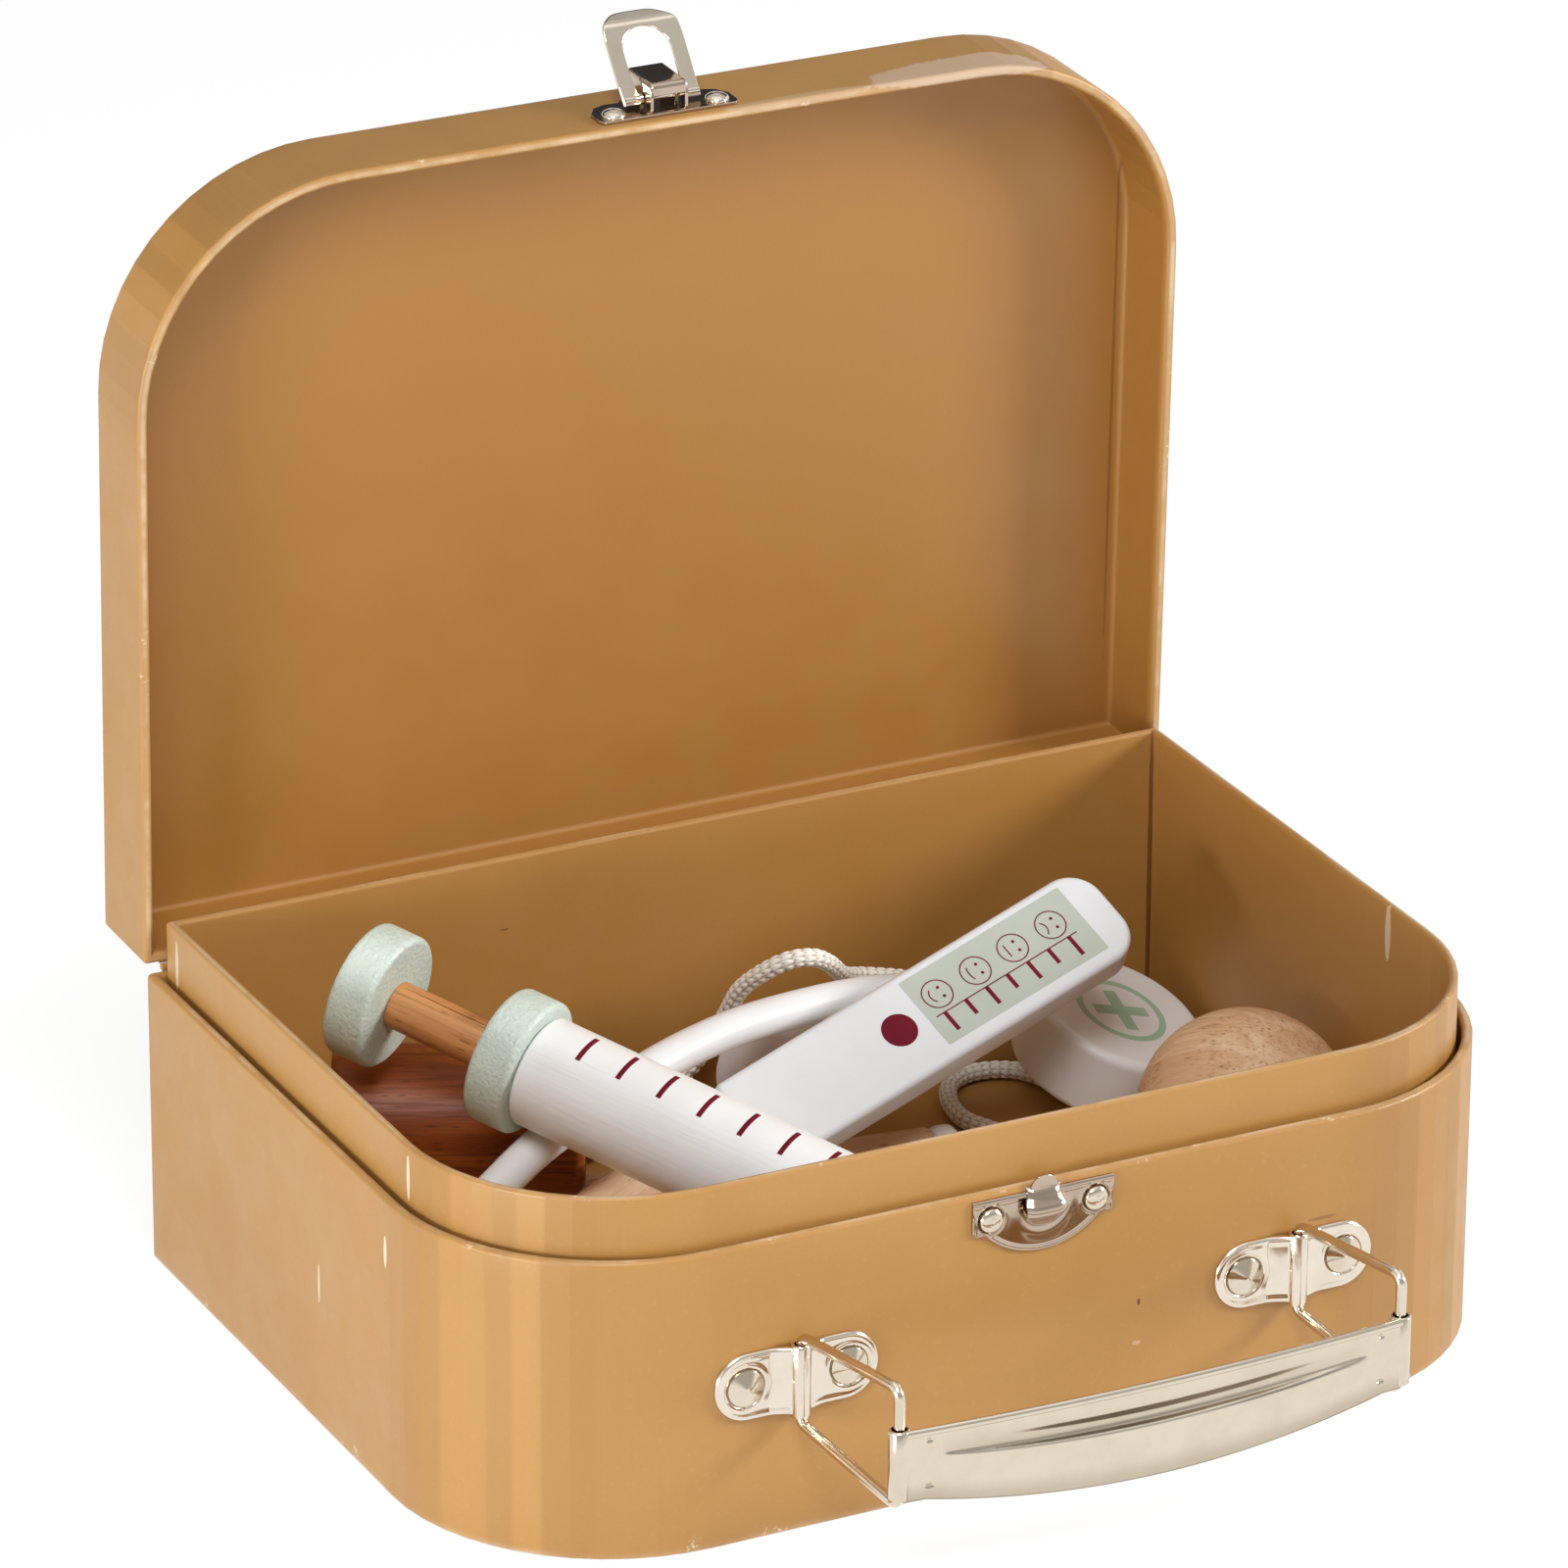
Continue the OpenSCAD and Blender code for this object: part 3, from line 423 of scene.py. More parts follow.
def nickelFinish(name, tint="#D8CCBA", shade="#C9BCA8", rough=0.13):
    # nickel plate on pressed steel: slow ripples and fine rubbing, with a painted dark reflection and painted shadow
    # lines by attribute
    m = Finish(name)
    p = m.objectPoint()
    rub = m.noise(m.mapped(p, nickel["rubAlong"]), nickel["rubScale"], 3, 0.7)
    cloud = m.noise(p, 120, 3, 0.6)
    tone = m.mix(m.fit(cloud, 0.35, 0.75, 0.0, 0.5), tint, shade)
    # the painted dark reflection, where a piece stores it
    tone = m.mix(m.attribute("paintedShade"), tone, nickel["reflectionShade"])
    ripples = m.noise(p, nickel["rippleScale"], 2, 0.4)
    # a painted shadow line, where a piece stores it
    m.base(Base_Color=m.mix(m.attribute("line"), tone, nickel["line"]), Metallic=1.0,
           Roughness=m.calc("ADD", m.fit(cloud, 0.3, 0.75, rough - 0.03, rough + 0.03),
                            m.fit(rub, 0.62, 0.8, 0.0, 0.08)),
           Normal=m.bump(ripples, nickel["rippleHeight"], 0.25, m.bump(rub, nickel["rubHeight"], 0.3)))
    return m.material


# the colour between the stitches is a painted shade
yarn = {"colour": "#F8F3EA", "between": "#AC9D84", "lint": "#D8CDBA", "lintShare": 0.25, "lintScale": 2600,
        "fuzzScale": 3000, "fuzzHeight": 0.00012, "roughness": 0.92, "sheen": 0.25}


def cottonFinish(name):
    # cream cotton yarn: painted shade between the stitches, fine lint
    m = Finish(name)
    p = m.objectPoint()
    # the stitches' depth mixes in the painted shade between them
    tone = m.mix(m.fit(m.attribute("stitch"), 0.0, 0.75), yarn["between"], yarn["colour"])
    lint = m.fit(m.noise(p, yarn["lintScale"], 3, 0.7), 0.5, 0.8, 0.0, yarn["lintShare"])
    m.base(Base_Color=m.mix(lint, tone, yarn["lint"]), Roughness=yarn["roughness"], Sheen_Weight=yarn["sheen"],
           Normal=m.bump(m.noise(p, yarn["fuzzScale"], 3, 0.7), yarn["fuzzHeight"], 0.6))
    return m.material


paperOutside = paperFinish("paperOutside", "outside")
paperLid = paperFinish("paperLid", "lid")
paperLiner = paperFinish("paperLiner", "liner")
whitePaint = paintFinish("whitePaint", "#ECECEC", "#E4E3E2")
# the syringe's and the thermometer's copies of the white paint are lighter and darker: painted light and painted shade
whitePaintLit = paintFinish("whitePaintLit", "#F8F8F7", "#F1F0EE", relief=2.5)
whitePaintShaded = paintFinish("whitePaintShaded", "#DFE0E2", "#D9DADC")
mintPaint = paintFinish("mintPaint", "#D2DFD4", "#C4D2C5", 0.42, pebble=1.0)
mintPrint = paintFinish("mintPrint", "#A9C9AF", "#9DBCA3", 0.5, 0.5, 0.0, 0.25)
burgundyPaint = paintFinish("burgundyPaint", "#741428", "#641020", 0.55, 0.5, 0.0, 0.12)
labelPaint = paintFinish("labelPaint", "#BAC0B5", "#B3B9AD", 0.5, 0.5, 0.0, 0.3)
beechWood = beechFinish("beechWood", "pale", 0.35)
beechOrange = beechFinish("beechOrange", "orange", 0.8)
beechRed = beechFinish("beechRed", "red", 0.6, 1.4)
# one nickel in copies: the catch and hasp plates' copy is darker, painted shade, the brackets' copy lighter, painted
# light, and the grip's a little darker, painted shade
nickelPlate = nickelFinish("nickelPlate")
nickelShaded = nickelFinish("nickelShaded", "#BBA998", "#AC9A88", 0.12)
nickelGrip = nickelFinish("nickelGrip", "#D6CBB9", "#CABDAA")
nickelLit = nickelFinish("nickelLit", "#E0D5C6", "#D3C6B4")
cottonYarn = cottonFinish("cottonYarn")
print("finishes made")

# knitted cotton cord, along the route of the solid: points in millimetres
cord = {
    "diameter": 0.0042, "columns": 8, "stitch": 0.0023, "relief": 0.00055, "step": 0.00036, "around": 40,
    "points": [(89.2, 60.6, 13.8), (88.2, 62.2, 9.8), (87.2, 66, 7), (86, 71.4, 6.4), (82.8, 76.8, 6.4),
               (77, 79.7, 6.4), (71, 79.6, 6.4), (66, 76.6, 6.4), (62.6, 71, 6.4), (60.6, 64.4, 6.4),
               (60.6, 58, 6.4), (63.4, 51.4, 6.4), (67.4, 42, 6.4), (66, 29, 6.4), (53, 18.4, 6.4),
               (28, 13.2, 6.4), (0, 10.4, 6.4), (-30, 5.6, 6.4), (-60, 1.4, 6.4), (-84, 5.4, 6.4),
               (-99, 22, 6.4), (-100, 44, 6.4), (-89, 65, 6.4), (-58, 78.6, 6.4), (-28, 79.6, 7.4),
               (-10, 79.4, 14), (1.6, 77, 25), (6.2, 72, 36.4), (7.4, 65.6, 46.4), (10.6, 59.6, 52.8),
               (15.2, 56.6, 55.8), (20.8, 56.2, 55.4), (25.8, 58.6, 52), (30, 62, 47.6), (33.8, 65.8, 44.4),
               (38.8, 68.2, 42.4), (44, 67, 41.6), (47.4, 62.8, 42.2), (48, 57.6, 44), (47.8, 52.4, 46)],
}


def makeCord():
    # a tube whose radius is half the diameter less the relief times (1 - depth)
    path = splinePoints(np.array(cord["points"]) / 1000, 48)
    walked = walkAlong(path)
    at = np.linspace(0, walked[-1], int(walked[-1] / cord["step"]))
    path = np.stack([np.interp(at, walked, path[:, k]) for k in range(3)], 1)
    a = np.linspace(0, 1, cord["around"], endpoint=False)[None, :] * cord["columns"]
    # each column is a chain of V stitches: two strands that lean towards the column's middle
    across = np.abs((a % 1) - 0.5) * 2
    strand = np.abs(np.sin(math.pi * (at[:, None] / cord["stitch"] + across * 0.5))) ** 0.7
    ridge = 1 - (1 - np.minimum(1, np.minimum(across, 1 - across) * 4)) ** 2
    depth = strand * (0.35 + 0.65 * ridge)
    pts = tubePoints(path, cord["diameter"] / 2 - cord["relief"] * (1 - depth), cord["around"])
    piece = newPiece("cordKnit", pts, cappedFaces(*pts.shape[:2]), cottonYarn, "base", "cotton", ["stetho_cord"],
                     floats={"stitch": depth})


makeCord()
print("cord made")


def caseOutline(inset):
    # points round the case, drawn in by inset: arcs at the four corners, and straight walls between them. A front
    # corner is in flat bands as scored board bends: its radius goes as cos(half a band) / cos(angle from its middle)
    inset = np.atleast_1d(np.asarray(inset, float))[None, :]
    w, d, r = case["width"] / 2, case["depth"] / 2, case["cornerRadius"]
    small = np.maximum(case["backRadius"] - inset, 0.0003)
    zero = 0 * inset

    def arc(cx, cy, radius, start, stop, count, facets=0):
        # even angles from start up to stop, in degrees
        a = np.linspace(start, stop, count, endpoint=False)[:, None]
        k = np.ones_like(a)
        if facets:
            step = (stop - start) / facets
            flat = math.cos(math.radians(step / 2)) / np.cos(np.radians((a - start) % step - step / 2))
            k = 1 + case["facetShare"] * (flat - 1)
        return arcOf(cx, cy, radius * k, np.radians(a))

    def line(x0, y0, x1, y1, count):
        # start plus an even share of the way to the end
        t = np.linspace(0, 1, count, endpoint=False)[:, None]
        return np.stack([x0 + (x1 - x0) * t + zero, y0 + (y1 - y0) * t + zero], -1)

    bx, by = w - inset - small, d - inset - small
    corner, back, side = case["cornerPoints"], case["backCornerPoints"], case["sidePoints"]
    return np.concatenate([
        arc(w - r + zero, r - d + zero, r - inset, -90, 0, corner, case["facets"]),
        line(w - inset, r - d + zero, w - inset, by, side),
        arc(bx, by, small, 0, 90, back),
        line(bx, d - inset, -bx, d - inset, case["backPoints"]),
        arc(-bx, by, small, 90, 180, back),
        line(inset - w, by, inset - w, r - d + zero, side),
        arc(r - w + zero, r - d + zero, r - inset, 180, 270, corner, case["facets"]),
        line(r - w + zero, inset - d, w - r + zero, inset - d, case["frontPoints"])], 0)


def roundedRing(i0, i1, z0, z1, top, bottom, steps=5):
    # closed profile: up the outer face, over the top edge, down the inner face and back underneath
    a = np.radians(np.linspace(0, 90, steps + 1))
    heights = np.linspace(z0 + bottom, z1 - top, 12)[1:-1]
    return np.concatenate([
        arcOf(i0 + bottom, z0 + bottom, bottom, np.radians(270) - a),
        np.c_[np.full_like(heights, i0), heights],
        arcOf(i0 + top, z1 - top, top, np.radians(180) - a),
        arcOf(i1 - top, z1 - top, top, np.radians(90) - a),
        np.c_[np.full_like(heights, i1), heights[::-1]],
        arcOf(i1 - bottom, z0 + bottom, bottom, -a)])


def cornerStarts(count):
    # one front corner's arc comes first in the outline, the other before its last wall
    return 0, count - case["frontPoints"] - case["cornerPoints"]


def bandShades(count, rows):
    # a random painted shade for every flat band of the front corners, standing in for light on the bent facets, with
    # a little scuffing; smooth over the bends between them
    each = case["cornerPoints"] // case["facets"]
    tones = np.random.default_rng(case["bandSeed"]).uniform(0, 1, case["facets"] + 1)
    k = np.arange(case["cornerPoints"] + 1)
    band = np.full(count, case["evenTone"])
    for start in cornerStarts(count):
        band[start + k] = tones[np.minimum(k // each, case["facets"])]
    band = (np.roll(band, 1) + 2 * band + np.roll(band, -1)) / 4
    return np.repeat(band[:, None], rows, 1)


def creaseCorners(piece, count, rows):
    # an edge is sharp where both of its ends lie on the same bend of a front corner
    mesh = piece.data
    ends = np.empty(len(mesh.edges) * 2, int)
    mesh.edges.foreach_get("vertices", ends)
    place = ends.reshape(-1, 2) // rows
    steps = case["cornerPoints"] // case["facets"] * np.arange(case["facets"] + 1)
    bends = np.concatenate([start + steps for start in cornerStarts(count)])
    sharp = (place[:, 0] == place[:, 1]) & np.isin(place[:, 0], bends)
    mesh.attributes.new("sharp_edge", "BOOLEAN", "EDGE").data.foreach_set("value", sharp)


def turnedAboutX(points, degrees, y0=0.0, z0=0.0):
    # turned about a line along X through (y0, z0)
    a = math.radians(degrees)
    p = np.asarray(points, float).copy()
    y, z = p[..., 1] - y0, p[..., 2] - z0
    p[..., 1] = y0 + y * math.cos(a) - z * math.sin(a)
    p[..., 2] = z0 + y * math.sin(a) + z * math.cos(a)
    return p


def openLid(points):
    # from its closed place, turned open about the hinge line
    return turnedAboutX(points, -case["open"], case["hingeY"], case["hingeZ"])


def boardPiece(name, profile, finish, body, nodes, worn, reach=0.0022, inner=0.0, panel=()):
    # a wall's profile (inset, height) carried along the case's outline. Wear is 1 on the worn edges and fades over
    # reach, inner is the share of the painted inside shade, and panel names the profile points on a flat panel
    plan = caseOutline(profile[:, 0])
    n, m = plan.shape[:2]
    pts = np.concatenate([plan, np.broadcast_to(profile[:, 1], (n, m))[..., None]], -1)
    away = np.min([np.hypot(*(profile - edge).T) for edge in worn], 0)
    # each front corner's flat bands get their painted shade
    tones = bandShades(n, m)
    tones[:, list(panel)] = case["evenTone"]
    floats = {"wear": np.broadcast_to(np.clip(1 - away / reach, 0, 1), (n, m)),
              "inner": np.broadcast_to(inner, (n, m)), "band": tones}
    faces = cappedFaces(n, m, closeU=True) if panel else gridFaces(n, m, closeU=True, closeV=True)
    piece = newPiece(name, openLid(pts) if body == "lid" else pts, faces, finish, body, "ochre_paper", nodes,
                     floats=floats)
    creaseCorners(piece, n, m)


def makeBase():
    # the outer wall, and the inner wall that stands above it
    t, h, linerTop = case["boardThickness"], case["baseHeight"], case["linerHeight"]
    boardPiece("baseWallSkin", roundedRing(0, t, 0, h, 0.0010, 0.0006), paperOutside, "base", ["base_wall"],
               [(t / 2, h), (0, 0)])
    i0 = case["linerInset"]
    i1 = i0 + case["linerThickness"]
    profile = roundedRing(i0, i1, case["bottomThickness"], linerTop, 0.0009, 0.0003)
    # the liner's inner face gets the painted inside shade
    boardPiece("linerSkin", profile, paperLiner, "base", ["liner_front", "liner_back"],
               [((i0 + i1) / 2, linerTop)], 0.002, case["linerInnerShade"] * (profile[:, 0] > (i0 + i1) / 2))


def makeLid():
    # profile from the middle of the inner panel, down the wall, round its rim, up outside and back over the panel
    t, edge, rim, fold = case["boardThickness"], case["lidEdge"], case["lidRim"], case["lidFold"]
    low = case["baseHeight"] + case["lidGap"]
    top = case["baseHeight"] + case["lidHeight"]
    inner = top - t - case["lidCard"]
    a = np.radians(np.linspace(0, 90, 7))

    def between(p, q):
        # eight even steps between two points, without the points
        return np.asarray(p) + (np.asarray(q) - np.asarray(p)) * np.linspace(0, 1, 10)[1:-1, None]

    inside = np.concatenate([
        [[case["panelInset"], inner], [t + fold + case["panelStep"], inner]],
        arcOf(t + fold, inner - fold, fold, np.radians(90) + a), between((t, inner - fold), (t, low + rim))])
    profile = np.concatenate([
        inside, arcOf(t - rim, low + rim, rim, -a), arcOf(rim, low + rim, rim, np.radians(270) - a),
        between((0, low + rim), (0, top - edge)), arcOf(edge, top - edge, edge, np.radians(180) - a),
        [[edge + case["panelStep"], top], [case["panelInset"], top]]])
    m = len(profile)
    # the panel and the wall's inside get the painted inside shade
    boardPiece("lidShell", profile, paperLid, "lid", ["lid_wall", "lid_panel", "lid_card"],
               [(t / 2, low), (edge / 4, top - edge / 4)], inner=np.arange(m) < len(inside), panel=(0, 1, m - 2, m - 1))


makeBase()
makeLid()
coverSolids(("base_bottom", "floor_card", "hinge_strip_base", "hinge_strip_lid"), paperOutside)
print("case made")

# toys: a pose is a place and the angles about X, Y and Z
syringe = {"pose": ((-0.0639, 0.0196, 0.0612), (0, 102.3, -55.3)), "barrel": 0.0123, "length": 0.085,
           "barrelEdge": 0.0013, "tip": ((5.2, 0), (4.6, 0.6), (4.5, 6.6), (3.8, 7.8), (2.8, 8.0)),
           "disc": 0.0152, "discT": 0.0096, "discEdge": 0.0014, "boreGap": 0.00008, "boreEdge": 0.0004,
           "rod": 0.0053, "rodOut": 0.026, "rodEdge": 0.0003, "rodShift": 0.00005}
# printed strokes round the barrel
marks = {"first": 0.0107, "step": 0.0100, "count": 7, "width": 0.0013, "from": 170, "to": 210.5, "proud": 0.00004,
         "sunk": -0.0001, "soft": 0.00008}


def makeSyringe():
    # barrel with its tip, collar with a bore, and the plunger's rod and cap, all turned about one axis
    pose, length = syringe["pose"], syringe["length"]
    r, t, bore, soft = syringe["disc"], syringe["discT"], syringe["rod"] + syringe["boreGap"], syringe["boreEdge"]
    barrel = np.concatenate([edgeRound(syringe["barrel"], length, syringe["barrelEdge"])[:-1],
                             np.array(syringe["tip"]) / 1000 + [0, length]])
    turnedPiece("syringeBarrel", barrel, pose, whitePaintLit, "base", "white_paint", ["syringe_barrel"])
    side = edgeRound(r, t, syringe["discEdge"])
    ring = np.concatenate([[[bore, soft], [bore + soft, 0]], side[1:-1], [[bore + soft, t], [bore, t - soft]]])
    pts = turnedPoints(ring, circle(96))
    newPiece("syringeCollar", posed(pts, pose, -t), gridFaces(*pts.shape[:2], closeU=True, closeV=True), mintPaint,
             "base", "mint_paint", ["syringe_collar"], flat=50, grain=pts)
    turnedPiece("syringeCap", side, pose, mintPaint, "plunger", "mint_paint", ["plunger_cap"],
                -2 * t - syringe["rodOut"])
    turnedPiece("plungerRod", edgeRound(syringe["rod"], syringe["rodOut"] + t, syringe["rodEdge"]), pose, beechOrange,
                "plunger", "beech", ["plunger_rod"], -t - syringe["rodOut"] + syringe["rodShift"])


def makeSyringeMarks():
    # short printed strokes on the barrel: a flat section carried along an arc
    a = np.radians(np.linspace(marks["from"], marks["to"], 14))
    soft, width, sunk, proud = (marks[k] for k in ("soft", "width", "sunk", "proud"))
    section = np.array([(sunk, 0), (proud, soft), (proud, width - soft), (sunk, width)])
    parts = [(turnedPoints(section + [syringe["barrel"], marks["first"] + marks["step"] * k], a),
              cappedFaces(len(a), 4)) for k in range(marks["count"])]
    verts, faces = joined(parts)
    newPiece("syringeMarks", posed(verts, syringe["pose"]), faces, burgundyPaint, "base", "white_paint", grain=verts)


makeSyringe()
makeSyringeMarks()

# turned toys: radius, length, edge, pose, way along the axis, finish, slot and node
stickPose, stickRadius, stickCap = ((0.0455, 0.0343, 0.0114), (0, -90, -7.9)), 0.0072, 0.006
viewerAngles = (0, 90, 34.6)
turnedToys = {
    "beechCylinder": (0.0162, 0.055, 0.0024, ((-0.0415, 0.0426, 0.0352), (0, -90, -26.7)), 0, beechRed, "beech",
                      "beech_cylinder"),
    "beechStick": (stickRadius, 0.104, 0.001, stickPose, stickCap, beechWood, "beech", "beech_stick"),
    "stickCap": (stickRadius, stickCap, 0.002, stickPose, 0, whitePaint, "white_paint", "stick_cap"),
    "viewerHandle": (0.008, 0.101, 0.0015, ((-0.0742, -0.0045, 0.0269), viewerAngles), 0, beechWood, "beech",
                     "viewer_handle"),
    "viewerHead": (0.015, 0.020, 0.002, ((0.009, 0.0528, 0.0269), viewerAngles), 0, whitePaint, "white_paint",
                   "viewer_head"),
}
for name, (radius, length, edge, pose, along, finish, slot, node) in turnedToys.items():
    turnedPiece(name, edgeRound(radius, length, edge), pose, finish, "base", slot, [node], along)

ball = {"radius": 0.0242, "from": -82.7, "to": 88.5, "pose": ((0.0949, -0.0069, 0.0280), (0, 62, -60))}


def makeBall():
    # an arc from near one pole to near the other, turned, with a small flat at each
    profile = arcOf(0, 0, ball["radius"], np.radians(np.linspace(ball["from"], ball["to"], 60)))
    turnedPiece("beechBall", profile, ball["pose"], beechWood, "base", "beech", ["beech_ball"], count=128)


makeBall()


def flatShape(outline, low, high):
    # a thin plate: the closed outline at two heights, its side walls and its two faces
    n = len(outline)
    faces = [[k, (k + 1) % n, n + (k + 1) % n, n + k] for k in range(n)]
    return (np.concatenate([np.c_[outline, np.full(n, low)], np.c_[outline, np.full(n, high)]]),
            faces + [list(range(n))[::-1], [n + k for k in range(n)]])


def flatRing(cx, cy, radius, width, low, high, count):
    # a thin box section turned once about (cx, cy)
    half = width / 2
    section = np.array([(radius - half, low), (radius + half, low), (radius + half, high), (radius - half, high)])
    return turnedPoints(section, circle(count)) + [cx, cy, 0], gridFaces(count, 4, closeU=True, closeV=True)


def flatDisc(cx, cy, radius, low, high, count):
    # a thin plate on a circle
    return flatShape(arcOf(cx, cy, radius, circle(count)), low, high)


def flatStroke(x0, y0, x1, y1, width, low, high):
    # a thin plate on the line's two sides, half the width away
    a, b = np.array([x0, y0]), np.array([x1, y1])
    d = (b - a) / np.linalg.norm(b - a)
    s = np.array([-d[1], d[0]]) * width / 2
    return flatShape(np.array([a - s, b - s, b + s, a + s]), low, high)


chest = {"pose": ((0.0918, 0.0578, 0.0125), (0, 22.8, -46.3)), "radius": 0.0209, "thickness": 0.0174, "edge": 0.0022,
         "foot": 0.0008, "hollow": 0.008, "faceRings": (0.012, 0.004), "printHigh": 0.00005, "printLow": -0.0001,
         "ring": 0.0102, "ringWidth": 0.0017, "arm": 0.0070, "armHalf": 0.0016, "crossTurn": 45}


def makeChestPiece():
    # a turned disc, with a printed ring and a twelve-cornered cross on its face
    t, pose = chest["thickness"], chest["pose"]
    side = edgeRound(chest["radius"], t, chest["edge"], 8, chest["foot"])
    profile = np.concatenate([[[chest["hollow"], 0]], side[1:-1], [[r, t] for r in chest["faceRings"]]])
    turnedPiece("chestPiece", profile, pose, whitePaint, "base", "white_paint", ["chest_piece"], count=128)
    low, high = t + chest["printLow"], t + chest["printHigh"]
    arm, half = chest["arm"], chest["armHalf"]
    quarter = np.array([(half, half), (arm, half), (arm, -half)])
    cross = np.concatenate([quarter @ turnMatrix((0, 0, chest["crossTurn"] - 90 * k))[:2, :2].T for k in range(4)])
    parts = [flatRing(0, 0, chest["ring"], chest["ringWidth"], low, high, 96), flatShape(cross[::-1], low, high)]
    verts, faces = joined(parts)
    newPiece("chestPrint", posed(verts, pose), faces, mintPrint, "base", "mint_paint", smooth=False, grain=verts)


makeChestPiece()

bow = {"radius": 0.0042, "around": 32, "tipRadius": 0.0055, "tipLength": 0.009, "tipEdge": 0.0035,
       "points": [(-89, 7, 34), (-76, 13.6, 39), (-63, 19.4, 43.6), (-46, 27.8, 45.8), (-26.5, 35.8, 48.4),
                  (-8, 41.6, 49.6), (9, 45.2, 49.4), (28, 47.4, 48.4), (43, 46.6, 46.8)]}


def makeBow():
    # a tube along a curve, and a rounded tip that goes on from each of its ends
    path = splinePoints(np.array(bow["points"]) / 1000, 24)
    pts = tubePoints(path, bow["radius"], bow["around"])
    flat = np.broadcast_to(arcOf(0, 0, bow["radius"], circle(bow["around"])), (*pts.shape[:2], 2))
    grain = np.concatenate([flat, np.broadcast_to(walkAlong(path)[:, None, None], (*pts.shape[:2], 1))], -1)
    newPiece("stethoBow", pts, cappedFaces(*pts.shape[:2]), whitePaint, "base", "white_paint", ["stetho_bow"],
             grain=grain)
    tip, tipFaces = turnedSolid(edgeRound(bow["tipRadius"], bow["tipLength"], bow["tipEdge"], 8), 64)
    parts = []
    for end, ahead in ((0, 1), (-1, -2)):
        d = path[end] - path[ahead]
        d /= np.linalg.norm(d)
        angles = (0, math.degrees(math.acos(d[2])), math.degrees(math.atan2(d[1], d[0])))
        parts.append((posed(tip, (path[end], angles)), tipFaces))
    newPiece("earTips", *joined(parts), whitePaint, "base", "white_paint", ["ear_tips"],
             grain=np.concatenate([tip, tip]))


makeBow()

# thermometer: a flat bar, and its print in millimetres from the bar's middle
thermo = {"pose": ((0.0355, 0.0297, 0.0476), (31.3, -15.7, 8.6)), "length": 0.1025, "width": 0.0242,
          "thickness": 0.009, "endRadius": 0.008, "backRadius": 0.002, "edge": 0.0016, "faceInset": 0.001}
thermoPrint = {"dot": (-8.5, 0.3, 4.1), "label": (-1.6, 43.3, -8.8, 9.8), "labelCorner": 0.3,
               "faces": (4.1, 14.8, 25.3, 36.0), "faceY": 3.0, "faceRadius": 3.5, "line": 0.3,
               "scaleY": -1.6, "scaleFrom": 0.3, "scaleTo": 39.8,
               "ticks": (5.2, 4.2, 5.0, 4.0, 5.0, 4.2, 5.4), "tickWidth": 1.0, "tickFirst": 0.4, "tickParts": 6.8,
               "moods": (1.0, 0.5, 0.0, -1.0), "eye": (0.36, 0.30, 0.11), "mouth": (0.48, -0.42, 0.22),
               "sunk": -0.0001, "labelHigh": 0.00003, "high": 0.00006}


def barOutline(inset, length, width, right, left, count=14, least=0.0002):
    # counter-clockwise outline of a bar with rounded ends, drawn in by inset
    x, y = length / 2, width / 2
    parts = []
    for cx, cy, r, start in ((x - right, -y + right, right, -90), (x - right, y - right, right, 0),
                             (-x + left, y - left, left, 90), (-x + left, -y + left, left, 180)):
        a = np.radians(np.linspace(start, start + 90, count))[:, None]
        # a corner's radius shrinks with the inset down to least, and then its centre moves in
        extra = np.maximum(inset - (r - least), 0)
        parts.append(arcOf(cx - np.sign(cx) * extra, cy - np.sign(cy) * extra, np.maximum(r - inset, least), a))
    return np.concatenate(parts, 0)


def makeThermometer():
    # the bar's outline at each height, drawn in as a quarter circle towards both faces
    t, e = thermo["thickness"], thermo["edge"]
    a = np.radians(np.linspace(0, 90, 7))
    ends = [e + thermo["faceInset"]]
    inset = np.concatenate([ends, e - e * np.sin(a), e - e * np.cos(a), ends])
    z = np.concatenate([[-t / 2], -t / 2 + e - e * np.cos(a), t / 2 - e + e * np.sin(a), [t / 2]])
    plan = barOutline(inset, thermo["length"], thermo["width"], thermo["endRadius"], thermo["backRadius"])
    n, m = plan.shape[:2]
    pts = np.concatenate([plan, np.broadcast_to(z, (n, m))[..., None]], -1)
    newPiece("thermometerBar", posed(pts, thermo["pose"]), cappedFaces(n, m, closeU=True), whitePaintShaded, "base",
             "white_paint", ["thermometer"], flat=50, grain=pts[..., [1, 2, 0]])


def printPiece(name, verts, faces, paintUsed, slot):
    # thin print on the bar's upper face
    newPiece(name, posed(verts, thermo["pose"]), faces, paintUsed, "base", slot, smooth=False,
             grain=verts[:, [1, 2, 0]])


